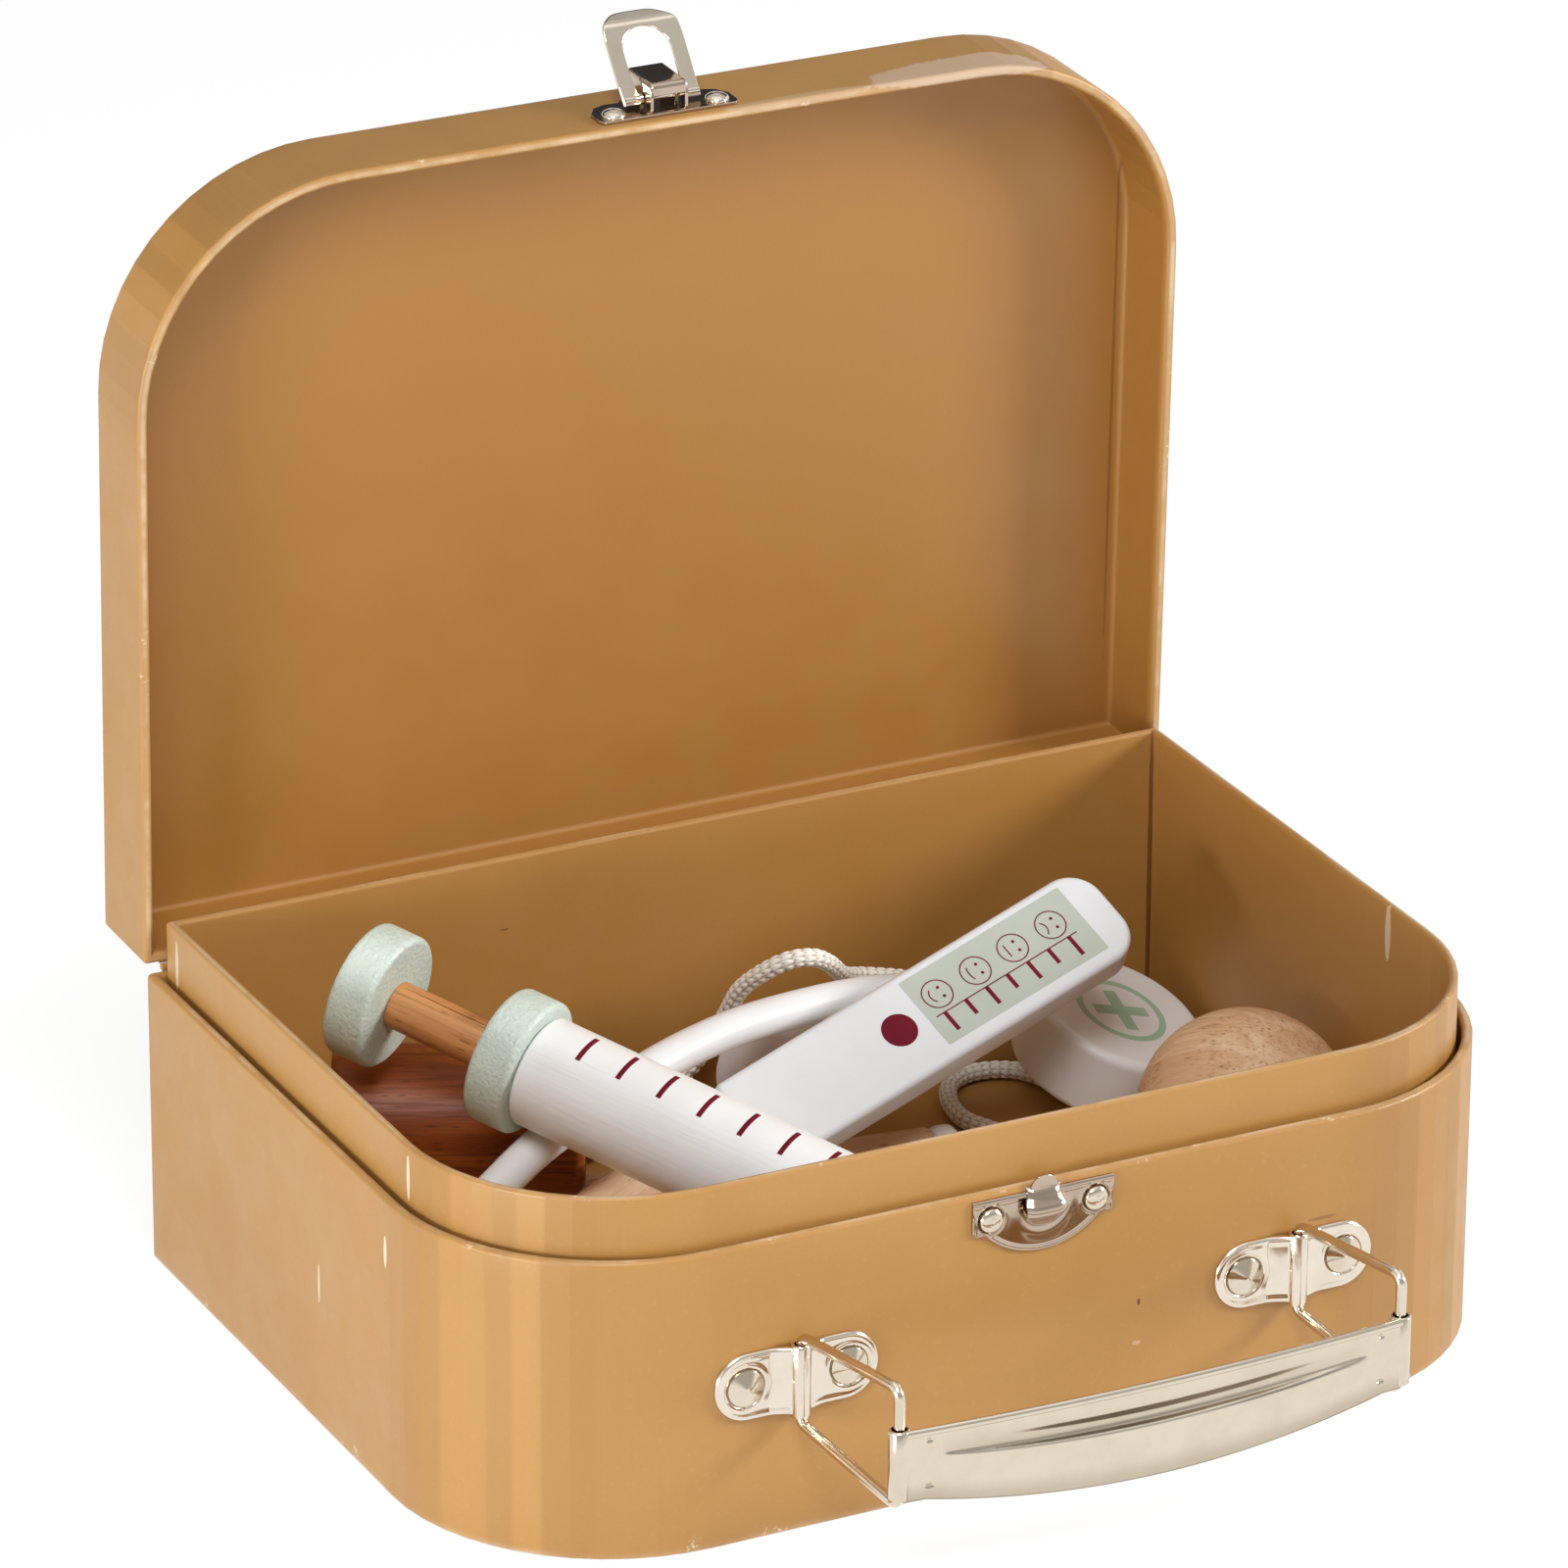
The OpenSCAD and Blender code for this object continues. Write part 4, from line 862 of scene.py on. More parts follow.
def makeThermometerPrint():
    # a label plate, and over it a dot, four ring faces with eyes and a curved mouth, and a scale with ticks
    t = thermo["thickness"] / 2
    low, high = t + thermoPrint["sunk"], t + thermoPrint["high"]
    x0, x1, y0, y1 = (v / 1000 for v in thermoPrint["label"])
    corner = thermoPrint["labelCorner"] / 1000
    label = barOutline(np.zeros(1), x1 - x0, y1 - y0, corner, corner, 5)[:, 0] + [(x0 + x1) / 2, (y0 + y1) / 2]
    printPiece("thermometerLabel", *flatShape(label, low, t + thermoPrint["labelHigh"]), labelPaint, "mint_paint")
    dx, dy, dr, line, cy, r = (v / 1000 for v in (*thermoPrint["dot"], thermoPrint["line"], thermoPrint["faceY"],
                                                  thermoPrint["faceRadius"]))
    parts = [flatDisc(dx, dy, dr, low, high, 64)]
    (eyeX, eyeY, eyeR), (mouthX, mouthY, mouthBend) = thermoPrint["eye"], thermoPrint["mouth"]
    u = np.linspace(-1, 1, 11)
    # the faces lie on their side: (x, y) of a face goes to (y, -x), and its mouth goes from a smile to a frown
    for fx, mood in zip(thermoPrint["faces"], thermoPrint["moods"]):
        cx = fx / 1000
        parts.append(flatRing(cx, cy, r, line, low, high, 48))
        parts += [flatDisc(cx + r * eyeY, cy - side * r * eyeX, r * eyeR, low, high, 16) for side in (-1, 1)]
        mx, my = cx + mouthY * r + mood * r * mouthBend * (u ** 2 - 0.5), cy - u * r * mouthX
        parts += [flatStroke(*ends, line, low, high) for ends in zip(mx, my, mx[1:], my[1:])]
    sy, s0, s1 = (thermoPrint[k] / 1000 for k in ("scaleY", "scaleFrom", "scaleTo"))
    parts.append(flatStroke(s0, sy, s1, sy, line, low, high))
    for k, tick in enumerate(thermoPrint["ticks"]):
        x = s0 + (s1 - s0) * (k + thermoPrint["tickFirst"]) / thermoPrint["tickParts"]
        parts.append(flatStroke(x, sy, x, sy - tick / 1000, thermoPrint["tickWidth"] / 1000, low, high))
    printPiece("thermometerPrint", *joined(parts), burgundyPaint, "white_paint")


makeThermometer()
makeThermometerPrint()
print("toys made")

# fittings on the front wall: handle, its brackets, catch and hasp
handle = {"x": (-0.0563, 0.0607), "z": 0.036, "wireOut": 0.00246, "wire": 0.0012, "wireBend": 0.0024, "swing": 8.5,
          "reach": 0.0345, "span": 0.0099, "rise": 0.0024, "drop": 0.0046, "gripH": 0.0158, "gripUp": 0.0008,
          "sag": 0.0054, "plateL": 0.0378, "plateH": 0.0154, "rivetPitch": 0.0238}
wireY = frontY - handle["wireOut"]


def onFront(across, away, up, x=0.0, z=0.0):
    # points on the front wall: across from x, away from the wall, and up from z
    return np.stack(np.broadcast_arrays(x + across, frontY - away, z + up), -1)


def roundedLoop(corners, radius, each=9):
    # a closed loop through the corners, each replaced by a circular bend
    p = np.asarray(corners, float)
    out = []
    for k in range(len(p)):
        a, b, c = p[k - 1], p[k], p[(k + 1) % len(p)]
        u, v = (a - b) / np.linalg.norm(a - b), (c - b) / np.linalg.norm(c - b)
        half = math.acos(max(-1, min(1, float(u @ v)))) / 2
        t = radius / math.tan(half)
        mid = b + (u + v) / np.linalg.norm(u + v) * radius / math.sin(half)
        s, e = b + u * t - mid, b + v * t - mid
        swing = math.acos(max(-1, min(1, float(s @ e) / radius ** 2)))
        w = np.linspace(0, 1, each)[:, None]
        out.append(mid + (s * np.sin((1 - w) * swing) + e * np.sin(w * swing)) / math.sin(swing))
    return np.concatenate(out)


def closedTube(path, radius, count=24):
    # rings square to a closed flat path: one side is the path plane's normal
    t = np.roll(path, -1, 0) - np.roll(path, 1, 0)
    t /= np.linalg.norm(t, axis=1, keepdims=True)
    n = np.cross(path[len(path) // 4] - path[0], path[len(path) // 2] - path[0])
    n /= np.linalg.norm(n)
    m, a = np.cross(t, n), circle(count)
    pts = path[:, None] + radius * (np.cos(a)[None, :, None] * n + np.sin(a)[None, :, None] * m[:, None])
    return pts, gridFaces(len(path), count, closeU=True, closeV=True)


def makeLoops():
    # a wire loop with four corners, in a plane turned by the swing from straight out
    s, reach, a = handle["span"], handle["reach"], math.radians(handle["swing"])
    out, up = np.array([(0, -s), (0, s), (reach, s + handle["rise"]), (reach, -s - handle["drop"])]).T
    for side, x in zip(("left", "right"), handle["x"]):
        corners = np.stack([x + out * math.sin(a), wireY - out * math.cos(a), handle["z"] + up], 1)
        pts, faces = closedTube(roundedLoop(corners, handle["wireBend"]), handle["wire"])
        newPiece("wireLoop" + side.capitalize(), pts, faces, nickelPlate, "loop_" + side, "nickel",
                 ["wire_loop_" + side], outside=True)


def gridSolid(front, back):
    # a closed sheet from its front and back points over the same places: each row is one loop
    loops = np.concatenate([front, back[:, ::-1]], 1)
    return loops.reshape(-1, 3), cappedFaces(*loops.shape[:2])


def boredTube(bore, radius, half, soft, count, at):
    # an upright tube round its middle, with small flats on its outer edges
    ring = [(bore, -half), (radius - soft, -half), (radius, -half + soft), (radius, half - soft),
            (radius - soft, half), (bore, half)]
    pts = turnedPoints(ring, circle(count)).reshape(-1, 3) + at
    return pts, gridFaces(count, len(ring), closeU=True, closeV=True)


grip = {"sheet": 0.00045, "front": 0.0017, "bow": 0.0026, "roll": 0.0009, "endIn": 0.0006, "sagIn": 0.005,
        "bead": 0.00115, "beadEnd": 0.0088, "crease": 0.0064, "creaseSag": 0.0024, "rise": 0.0008,
        "hollow": 0.0012, "hollowUp": 0.0016, "hollowWide": 0.0020, "lowEdge": 0.0004, "lowArc": (20, 160),
        "rollIn": 0.0003, "rollArc": (230, -48), "startRolls": 1.75, "fallPower": 0.8, "backBead": 0.9,
        "dents": ((-0.0052, 0.0010, 0.0004), (0.0052, 0.0008, 0.0005)), "dentDepth": 0.0005, "dentIn": 0.0058,
        "tube": 0.0023, "tubeBore": 0.0017, "tubeSoft": 0.0003,
        # painted shade: the dark reflection painted along the lower edge and above the crease, its lean to the left and
        # its height over the crease, then the painted shadow lines along the crease
        "reflectionShadeLow": 0.42, "reflectionShade": 0.40, "reflectionShadeLean": 0.18, "reflectionShadeHigh": 0.0056,
        "lines": ((0.8, -0.0005, 0.00022, 1, 0.1, 0.55), (0.55, 0, 0.00018, -1, -0.2, 0.2))}


def makeGrip():
    # a bowed sheet over (x, z) with a sagging lower edge, a rolled upper edge, and a bored roll at each end
    half = (handle["x"][1] - handle["x"][0]) / 2
    a, h = math.radians(handle["swing"]), handle["gripH"] / 2
    bottom = handle["z"] - handle["span"] - handle["drop"] + handle["wire"] + handle["gripUp"]
    centre = np.array([sum(handle["x"]) / 2 + handle["reach"] * math.sin(a), wireY - handle["reach"] * math.cos(a),
                       bottom + h])
    x = np.linspace(-half + grip["endIn"], half - grip["endIn"], 321)[:, None]
    low = -h - handle["sag"] * np.clip(1 - (x / (half - grip["sagIn"])) ** 2, 0, 1)
    start = h - grip["startRolls"] * grip["roll"]
    z = start + (low - start) * np.linspace(0, 1, 91)[None, :]
    # pressed bead: a sharp rise along a sagging crease, then a full swell that runs out at the lower edge
    lens = np.clip(1 - (x / (half - grip["beadEnd"])) ** 2, 0, 1)
    crease = h - grip["crease"] - grip["creaseSag"] * lens
    step = sCurve(crease - z, -grip["rise"] / 2, grip["rise"] / 2)
    fall = (1 - np.clip((crease - z) / (crease - low), 0, 1)) ** grip["fallPower"]
    bead = grip["bead"] * np.sqrt(lens) * step * fall
    hollow = grip["hollow"] * np.sqrt(lens) * swell(z, crease + grip["hollowUp"], grip["hollowWide"])
    for height, long, wide in grip["dents"]:
        hollow = hollow + grip["dentDepth"] * swell(np.abs(x), half - grip["dentIn"], long) * swell(z, height, wide)
    face = -grip["front"] - grip["bow"] * (1 - (x / half) ** 2) + 0 * z
    front = face - grip["sheet"] / 2 - bead + hollow
    back = face + grip["sheet"] / 2 - bead * grip["backBead"] + hollow
    b = np.radians(np.linspace(*grip["lowArc"], 7))[None, :]
    lowY, lowZ = (front[:, -1:] + back[:, -1:]) / 2 - grip["lowEdge"] * np.cos(b), low - grip["lowEdge"] * np.sin(b)
    b = np.radians(np.linspace(*grip["rollArc"], 25))[None, :]
    topY = face[:, :1] + grip["rollIn"] - grip["roll"] * np.cos(b)
    topZ = h - grip["roll"] + grip["roll"] * np.sin(b) + 0 * x
    ys = np.concatenate([front, lowY, back[:, ::-1], topY], 1)
    zs = np.concatenate([z, lowZ, z[:, ::-1], topZ], 1)
    pts = np.stack([x + 0 * ys, ys, zs], -1) + centre
    # painted shade: a dark reflection painted above the crease and along the lower edge, and a painted shadow line
    # along the crease
    above = np.where(z > crease, (1 - np.clip((z - crease) / grip["reflectionShadeHigh"], 0, 1)) ** 1.2, 0)
    paintedShade = grip["reflectionShadeLow"] * sCurve((low - z) / (start - low), -0.30, 0.0)
    paintedShade = paintedShade + lens ** 0.3 * above * (grip["reflectionShade"] - grip["reflectionShadeLean"] * x / half)
    # each painted shade line: strength, height over the crease, width, the side it's on, and where it begins and is
    # full
    dark = sum(amount * swell(z, crease + up, wide) * lens ** 0.4 * sCurve(side * x / half, begin, full)
               for amount, up, wide, side, begin, full in grip["lines"])
    parts = [(pts, cappedFaces(*pts.shape[:2]))]
    parts += [boredTube(grip["tubeBore"], grip["tube"], h, grip["tubeSoft"], 48, centre + [side * half, 0, 0])
              for side in (-1, 1)]
    verts, faces = joined(parts)
    # the painted shade and the painted shadow lines go on the sheet's points
    floats = {"paintedShade": np.zeros(len(verts)), "line": np.zeros(len(verts))}
    for key, shade in (("paintedShade", paintedShade), ("line", np.clip(dark, 0, 1))):
        floats[key][:pts.shape[0] * pts.shape[1]].reshape(pts.shape[:2])[:, :shade.shape[1]] = shade
    newPiece("gripSheet", verts, faces, nickelGrip, "grip", "nickel", ["grip"], outside=True, flat=60, floats=floats)


def pressedPlate(inside, spec):
    # height of a pressed plate: a round edge that rises over the rim's width, then a slight dip
    rim = np.clip(inside / spec["rim"], 0, 1)
    return spec["edge"] + spec["rise"] * np.sqrt(1 - (1 - rim) ** 2) - spec["dip"] * sCurve(
        inside, spec["rim"], spec["dipTo"])


def rivetSeat(d, spec):
    # at distance d from a rivet's middle: a raised ring, less the sunk seat
    return spec["ringHigh"] * swell(d, spec["ring"], spec["ringWide"]) - spec["seatDepth"] * sCurve(
        spec["seat"] - d, 0, spec["seatWall"])


def rivetHeads(name, profile, count, places, body, nodes=(), flat=None):
    # one turned profile with its axis out of the wall, at each place
    v, faces = turnedSolid(profile, count)
    verts, faces = joined([(onFront(v[:, 0], v[:, 2], v[:, 1], x, z), faces) for x, z in places])
    newPiece(name, openLid(verts) if body == "lid" else verts, faces, nickelPlate, body, "nickel", nodes,
             outside=True, flat=flat)


# cone: a rivet's profile in millimetres, low with a blunt tip, in a seat with a groove round its foot
bracket = {"edge": 0.0003, "rise": 0.0009, "rim": 0.0010, "dip": 0.00025, "dipTo": 0.0022,
           "ring": 0.0051, "ringWide": 0.0005, "ringHigh": 0.00022, "seat": 0.0045, "seatDepth": 0.0005,
           "seatWall": 0.0003, "strap": 0.0066, "strapRise": 0.0016, "strapCurve": 1.4, "sheet": 0.0006,
           "tube": 0.0021, "tubeBore": 0.0015, "tubeSoft": 0.0002, "knuckle": 0.0083,
           "cone": ((3.0, 0.4), (4.1, 0.5), (4.1, 1.2), (3.8, 1.4), (1.1, 2.5), (0.8, 2.68), (0.4, 2.75))}


def makeBrackets():
    # a sheet over a plate with round ends: its height is the pressed plate, two rivet seats, and a strap that
    # rises to a half-round knuckle in the middle
    length, height, pitch, z = handle["plateL"], handle["plateH"], handle["rivetPitch"] / 2, handle["z"]
    c, r, tube = (length - height) / 2, height / 2, bracket["tube"]
    x = length / 2 * 0.9999 * crowded(261)[:, None]
    pz = np.sqrt(r ** 2 - np.clip(np.abs(x) - c, 0, None) ** 2) * crowded(81)[None, :]
    px = x + 0 * pz
    away = np.abs(px)
    out = pressedPlate(r - np.hypot(np.clip(away - c, 0, None), pz), bracket)
    for s in (-1, 1):
        out += rivetSeat(np.hypot(px - s * pitch, pz), bracket)
    slope = np.clip(1 - (away - tube) / (bracket["strap"] - tube), 0, 1)
    out += bracket["strapRise"] * slope ** bracket["strapCurve"]
    knuckle = handle["wireOut"] + np.sqrt(np.clip(tube ** 2 - px ** 2, 0, None))
    out = np.where(away < tube, knuckle, out)
    under = np.clip(out - bracket["sheet"], 0, None)
    for side, x0 in zip(("left", "right"), handle["x"]):
        parts = [gridSolid(onFront(px, out, pz, x0, z), onFront(px, under, pz, x0, z)),
                 boredTube(bracket["tubeBore"], tube, bracket["knuckle"], bracket["tubeSoft"], 40, [x0, wireY, z])]
        newPiece("bracket" + side.capitalize(), *joined(parts), nickelLit, "base", "nickel", ["bracket_" + side],
                 outside=True, flat=45)
    rivetHeads("bracketRivetHeads", np.array(bracket["cone"]) / 1000, 64,
               [(x0 + s * pitch, z) for x0 in handle["x"] for s in (-1, 1)], "base", ["bracket_rivets"], 40)


catch = {"x": 0.0006, "top": 0.0666, "width": 0.033, "endH": 0.0082, "midH": 0.014, "corner": 0.0018, "endIn": 0.003,
         "edge": 0.0002, "rise": 0.0007, "rim": 0.0008, "dip": 0.0002, "dipTo": 0.0017, "rivetX": 0.0123,
         "rivetZ": -0.0046, "ring": 0.0034, "ringWide": 0.0003, "ringHigh": 0.00015, "seat": 0.0030,
         "seatDepth": 0.0002, "seatWall": 0.0002, "ripple": (0.0036, 0.0064, 0.0012, 0.00010),
         "hook": ((0.8, 0.6), (1.4, 0.3), (1.9, -0.4), (2.3, -1.3), (2.9, -2.2), (3.5, -3.0), (3.7, -3.8), (3.4, -4.6),
                  (2.8, -5.3), (2.2, -6.1), (1.6, -7.0), (1.0, -7.8)),
         "hookHalf": 0.0047, "hookRound": -0.0042, "hookNeck": 0.84, "neckDown": (0.0002, 0.0030),
         "hookDrop": (0.0009, 0.0002), "sheet": 0.0006,
         "tabHalf": 0.0032, "tabTop": 0.0034, "tabLow": -0.002, "tabOut": (0.0005, 0.0012), "tabRound": 0.00012}


def sideways(line):
    # unit normals on the left of a flat line
    along = np.gradient(line, axis=0)
    normal = np.stack([-along[:, 1], along[:, 0]], 1)
    return normal / np.linalg.norm(normal, axis=1, keepdims=True)


def makeCatch():
    # a plate with two square ends and an arc below, two rivet seats, a bent hook and a round tab
    w, end, mid = catch["width"] / 2, catch["endH"], catch["midH"]
    reach = w - catch["endIn"]
    r = ((mid - end) ** 2 + reach ** 2) / (2 * (mid - end))
    x = w * 0.9999 * crowded(241)[:, None]
    turn = np.clip((np.abs(x) - w + catch["corner"]) / catch["corner"], 0, 1)
    low = np.where(np.abs(x) < reach, (r - mid) - np.sqrt(r ** 2 - np.minimum(np.abs(x), reach) ** 2),
                   -end + catch["corner"] * (1 - np.sqrt(1 - turn ** 2)))
    pz = low * (1 - crowded(81)[None, :]) / 2
    px = x + 0 * pz
    inArc = np.minimum(r - np.hypot(px, pz - (r - mid)), -pz)
    inEnds = np.minimum(np.minimum(pz + end, -pz), w - np.abs(px))
    out = pressedPlate(np.clip(np.maximum(inArc, inEnds), 0, None), catch)
    for s in (-1, 1):
        out += rivetSeat(np.hypot(px - s * catch["rivetX"], pz - catch["rivetZ"]), catch)
    # a pressed ripple round the foot of the hook
    rippleDown, rippleAt, rippleWide, rippleHigh = catch["ripple"]
    out += rippleHigh * swell(np.hypot(px, pz + rippleDown), rippleAt, rippleWide)

    def place(across, away, up):
        # across and up from the middle of the plate's upper edge
        return onFront(across, away, up, catch["x"], catch["top"])

    parts = [gridSolid(place(px, out, pz), place(px, 0 * out, pz))]
    # hook: a strip that follows its side profile and ends in a round foot
    line = splinePoints([(0, y, z) for y, z in catch["hook"]], 6)[:, 1:] / 1000
    normal = sideways(line)
    past = np.clip((catch["hookRound"] - line[:, 1]) / catch["hookHalf"], 0, 0.97)
    side = np.linspace(-1, 1, 25)[None, :]
    neck = catch["hookNeck"] + (1 - catch["hookNeck"]) * sCurve(-line[:, 1], *catch["neckDown"])
    across = catch["hookHalf"] * (neck * np.sqrt(1 - past ** 2))[:, None] * side
    drop = catch["hookDrop"][0] * side ** 4 + catch["hookDrop"][1] * side ** 2
    faces = [line + s * normal * catch["sheet"] / 2 for s in (1, -1)]
    parts.append(gridSolid(*(place(across, face[:, :1] - drop, face[:, 1:]) for face in faces)))
    # tab: a flat tongue with a round top that stands above the plate
    half, topZ = catch["tabHalf"], catch["tabTop"]
    z = np.concatenate([np.linspace(catch["tabLow"], topZ - half, 8),
                        topZ - half + half * np.sin(np.radians(np.linspace(8, 88, 24)))])[:, None]
    width = np.sqrt(np.clip(half ** 2 - np.clip(z - topZ + half, 0, None) ** 2, 0, None)) * side
    thin = catch["tabRound"] * side ** 6
    back, front = catch["tabOut"]
    parts.append(gridSolid(place(width, front - thin, z), place(width, back + thin, z)))
    newPiece("catchPressing", *joined(parts), nickelShaded, "base", "nickel", ["catch_plate"], outside=True, flat=50)


arm = {"half": 0.0092, "inner": 0.0056, "length": 0.0174, "lip": 0.0046, "lipHalf": 0.0048, "holeFar": 0.0162,
       "legFrom": -0.0011, "shoulder": 0.0004, "cornerPower": 16, "sheet": 0.0008, "edgeFrom": 0.9,
       "bend": 42, "bendRun": 0.0013,
       "footIn": 0.0007, "footUp": 0.006, "lift": 130, "pin": (0.0006, -0.0908, 0.0754), "ear": 0.0013,
       "earHalf": 0.0004, "bore": 0.00087}


def makeArm():
    # a U-shaped strip: up the left leg, round the D-shaped hole, down the right leg
    inner, half, power = arm["inner"], arm["half"], arm["cornerPower"]
    centre = arm["holeFar"] - inner
    leg = np.linspace(arm["legFrom"], centre, 24)[:-1]
    phi = np.radians(np.linspace(180, 0, 81))
    end = arm["length"] + arm["lip"]
    nx, na = arm["lip"] + arm["shoulder"], half - arm["lipHalf"]
    nx, na = nx / math.hypot(nx, na), na / math.hypot(nx, na)
    reach = nx * half + na * (arm["length"] - arm["shoulder"]) - na * centre
    c, q = np.abs(np.cos(phi)), np.sin(phi)
    # the smallest of the three outline distances, with its corners rounded
    rho = ((c / half) ** power + (q / (end - centre)) ** power + ((nx * c + na * q) / reach) ** power) ** (-1 / power)
    rho *= half / rho[0]
    rho = np.minimum(rho, (end - centre) / np.maximum(q, 1e-6))
    # the legs widen inwards towards their feet
    foot = inner - arm["footIn"] * sCurve(arm["footUp"] - leg, 0, arm["footUp"])
    inX = np.concatenate([-foot, inner * np.cos(phi), foot[::-1]])
    inA = np.concatenate([leg, centre + inner * np.sin(phi), leg[::-1]])
    outX = np.concatenate([np.full(len(leg), -half), rho * np.cos(phi), np.full(len(leg), half)])
    outA = np.concatenate([leg, centre + rho * np.sin(phi), leg[::-1]])
    t = (1 - np.cos(np.linspace(0, math.pi, 17)))[None, :] / 2
    x = inX[:, None] + (outX - inX)[:, None] * t
    a = inA[:, None] + (outA - inA)[:, None] * t
    edge = arm["edgeFrom"]
    thick = arm["sheet"] / 2 * np.sqrt(1 - np.clip((np.abs(2 * t - 1) - edge) / (1 - edge), 0, 0.98) ** 2)
    # the lip bends over a short length: its angle grows smoothly and is summed along the sheet
    run = np.linspace(leg[0], end, 600)
    angle = math.radians(arm["bend"]) * sCurve(run, arm["length"] - arm["bendRun"], arm["length"] + arm["bendRun"])
    each = run[1] - run[0]
    dip = np.interp(a, run, -np.cumsum(np.sin(angle)) * each)
    down = np.interp(a, run, leg[0] + np.cumsum(np.cos(angle)) * each)
    sheets = [np.stack([x, dip - arm["sheet"] / 2 + side * thick, -down], -1) for side in (-1, 1)]
    wide = arm["earHalf"]
    ring = [(arm["bore"], -wide), (arm["ear"], -wide), (arm["ear"], wide), (arm["bore"], wide)]
    ear = turnedPoints(ring, circle(32))[..., [2, 0, 1]]
    parts = [gridSolid(*sheets)]
    parts += [(ear + [side * (inner - wide), 0, 0], gridFaces(32, 4, closeU=True, closeV=True)) for side in (-1, 1)]
    verts, faces = joined(parts)
    newPiece("haspArm", openLid(turnedAboutX(verts, -arm["lift"]) + arm["pin"]), faces, nickelPlate, "arm", "nickel",
             ["hasp_arm"], outside=True, flat=50)


# outlines in millimetres: the housing's as (up, away from the wall), the plate's as (across, up)
housing = {"half": 0.0045, "out": 0.0070, "low": 0.0714, "depth": 0.0120, "sheet": 0.0008, "round": 0.0012,
           "sideTop": 0.0055, "barOut": 0.0044, "innerShare": 0.98, "sag": 0.0007, "sagFrom": 0.86, "sideDown": 0.0006,
           "side": ((0, 0.6), (0, 5.9), (0.3, 6.6), (1.0, 7.0), (12.0, 7.0), (12.0, 0.6), (5.0, 0.6), (5.0, 2.9),
                    (4.3, 3.7), (3.2, 3.7), (2.5, 2.9), (2.5, 2.2), (1.9, 1.8), (1.9, 0.6))}
haspPlate = {"low": 0.0704, "thick": 0.0008, "bevel": 0.0002, "bevelFrom": 50,
             "outline": ((-15.6, 0), (15.6, 0), (16.5, 1.2), (16.5, 5.6), (14.6, 8.6), (11.6, 9.8), (8.2, 9.6),
                         (6.0, 11.6), (-6.0, 11.6), (-8.2, 9.6), (-11.6, 9.8), (-14.6, 8.6), (-16.5, 5.6),
                         (-16.5, 1.2))}


def makeHaspPlate():
    # a plate, and on it the spring's housing: a bent sheet between two sides with keyhole slots
    t, half, r, top, low = (housing[k] for k in ("sheet", "half", "round", "out", "low"))

    def place(across, away, up):
        # across from the catch's middle, up from the table
        return onFront(across, away, up, catch["x"])

    # the housing's top is flat, and rolls over at the front into a bar above the window
    line = np.concatenate([np.c_[np.linspace(low + housing["depth"], low + r, 14)[:-1], np.full(13, top)],
                           arcOf(low + r, top - r, r, np.radians(np.linspace(90, 180, 9))),
                           np.c_[np.full(6, low), np.linspace(top - r, housing["barOut"], 7)[1:]]])
    inner = line + sideways(line) * t
    side = np.linspace(-1, 1, 25)[None, :]
    sag = housing["sag"] * np.clip((np.abs(side) - housing["sagFrom"]) / (1 - housing["sagFrom"]), 0, 1) ** 2
    parts = [gridSolid(place(half * side, line[:, 1:] - sag, line[:, :1]),
                       place(half * side * housing["innerShare"], inner[:, 1:] - sag, inner[:, :1]))]
    up, away = np.array(housing["side"]).T / 1000
    away = away - housing["sideDown"] * (away > housing["sideTop"])
    for s in (-1, 1):
        v, faces = flatShape(np.c_[away, low + up], s * half, s * (half - t))
        parts.append((place(v[:, 2], v[:, 0], v[:, 1]), faces))
    v, faces = flatShape(np.array(haspPlate["outline"]) / 1000 + [0, haspPlate["low"]], 0, haspPlate["thick"])
    parts.append((place(v[:, 0], v[:, 2], v[:, 1]), faces))
    verts, faces = joined(parts)
    piece = newPiece("haspPlate", openLid(verts), faces, nickelShaded, "lid", "nickel", ["hasp_plate"], outside=True,
                     flat=40)
    soften = piece.modifiers.new("soften", "BEVEL")
    soften.width, soften.segments = haspPlate["bevel"], 2
    soften.limit_method, soften.angle_limit = "ANGLE", math.radians(haspPlate["bevelFrom"])


smallRivet = {"radius": 0.0027, "height": 0.0014, "foot": 0.0008, "rim": 0.0002, "x": 0.0006, "pitch": 0.0246,
              "base": 0.062, "lid": 0.0734}


def makeSmallRivets():
    # a shallow dome with a fine rim: radius sin a, height cos a
    r, foot, rim = smallRivet["radius"], smallRivet["foot"], smallRivet["rim"]
    a = np.radians(np.linspace(8, 90, 10))
    dome = np.stack([r * np.sin(a), foot + rim + (smallRivet["height"] - rim) * np.cos(a)], 1)
    profile = np.concatenate([dome, [[r, foot], [r * 0.6, foot - 0.0001]]])[::-1]
    across = [smallRivet["x"] + s * smallRivet["pitch"] / 2 for s in (-1, 1)]
    for name, body in (("catchRivetHeads", "base"), ("haspRivetHeads", "lid")):
        rivetHeads(name, profile, 40, [(x, smallRivet[body]) for x in across], body)


makeLoops()
makeGrip()
makeBrackets()
makeCatch()
makeArm()
makeHaspPlate()
makeSmallRivets()
coverSolids(("catch_rivets", "hasp_rivets", "hasp_pin", "hasp_spring"), nickelPlate)
print("fittings made")

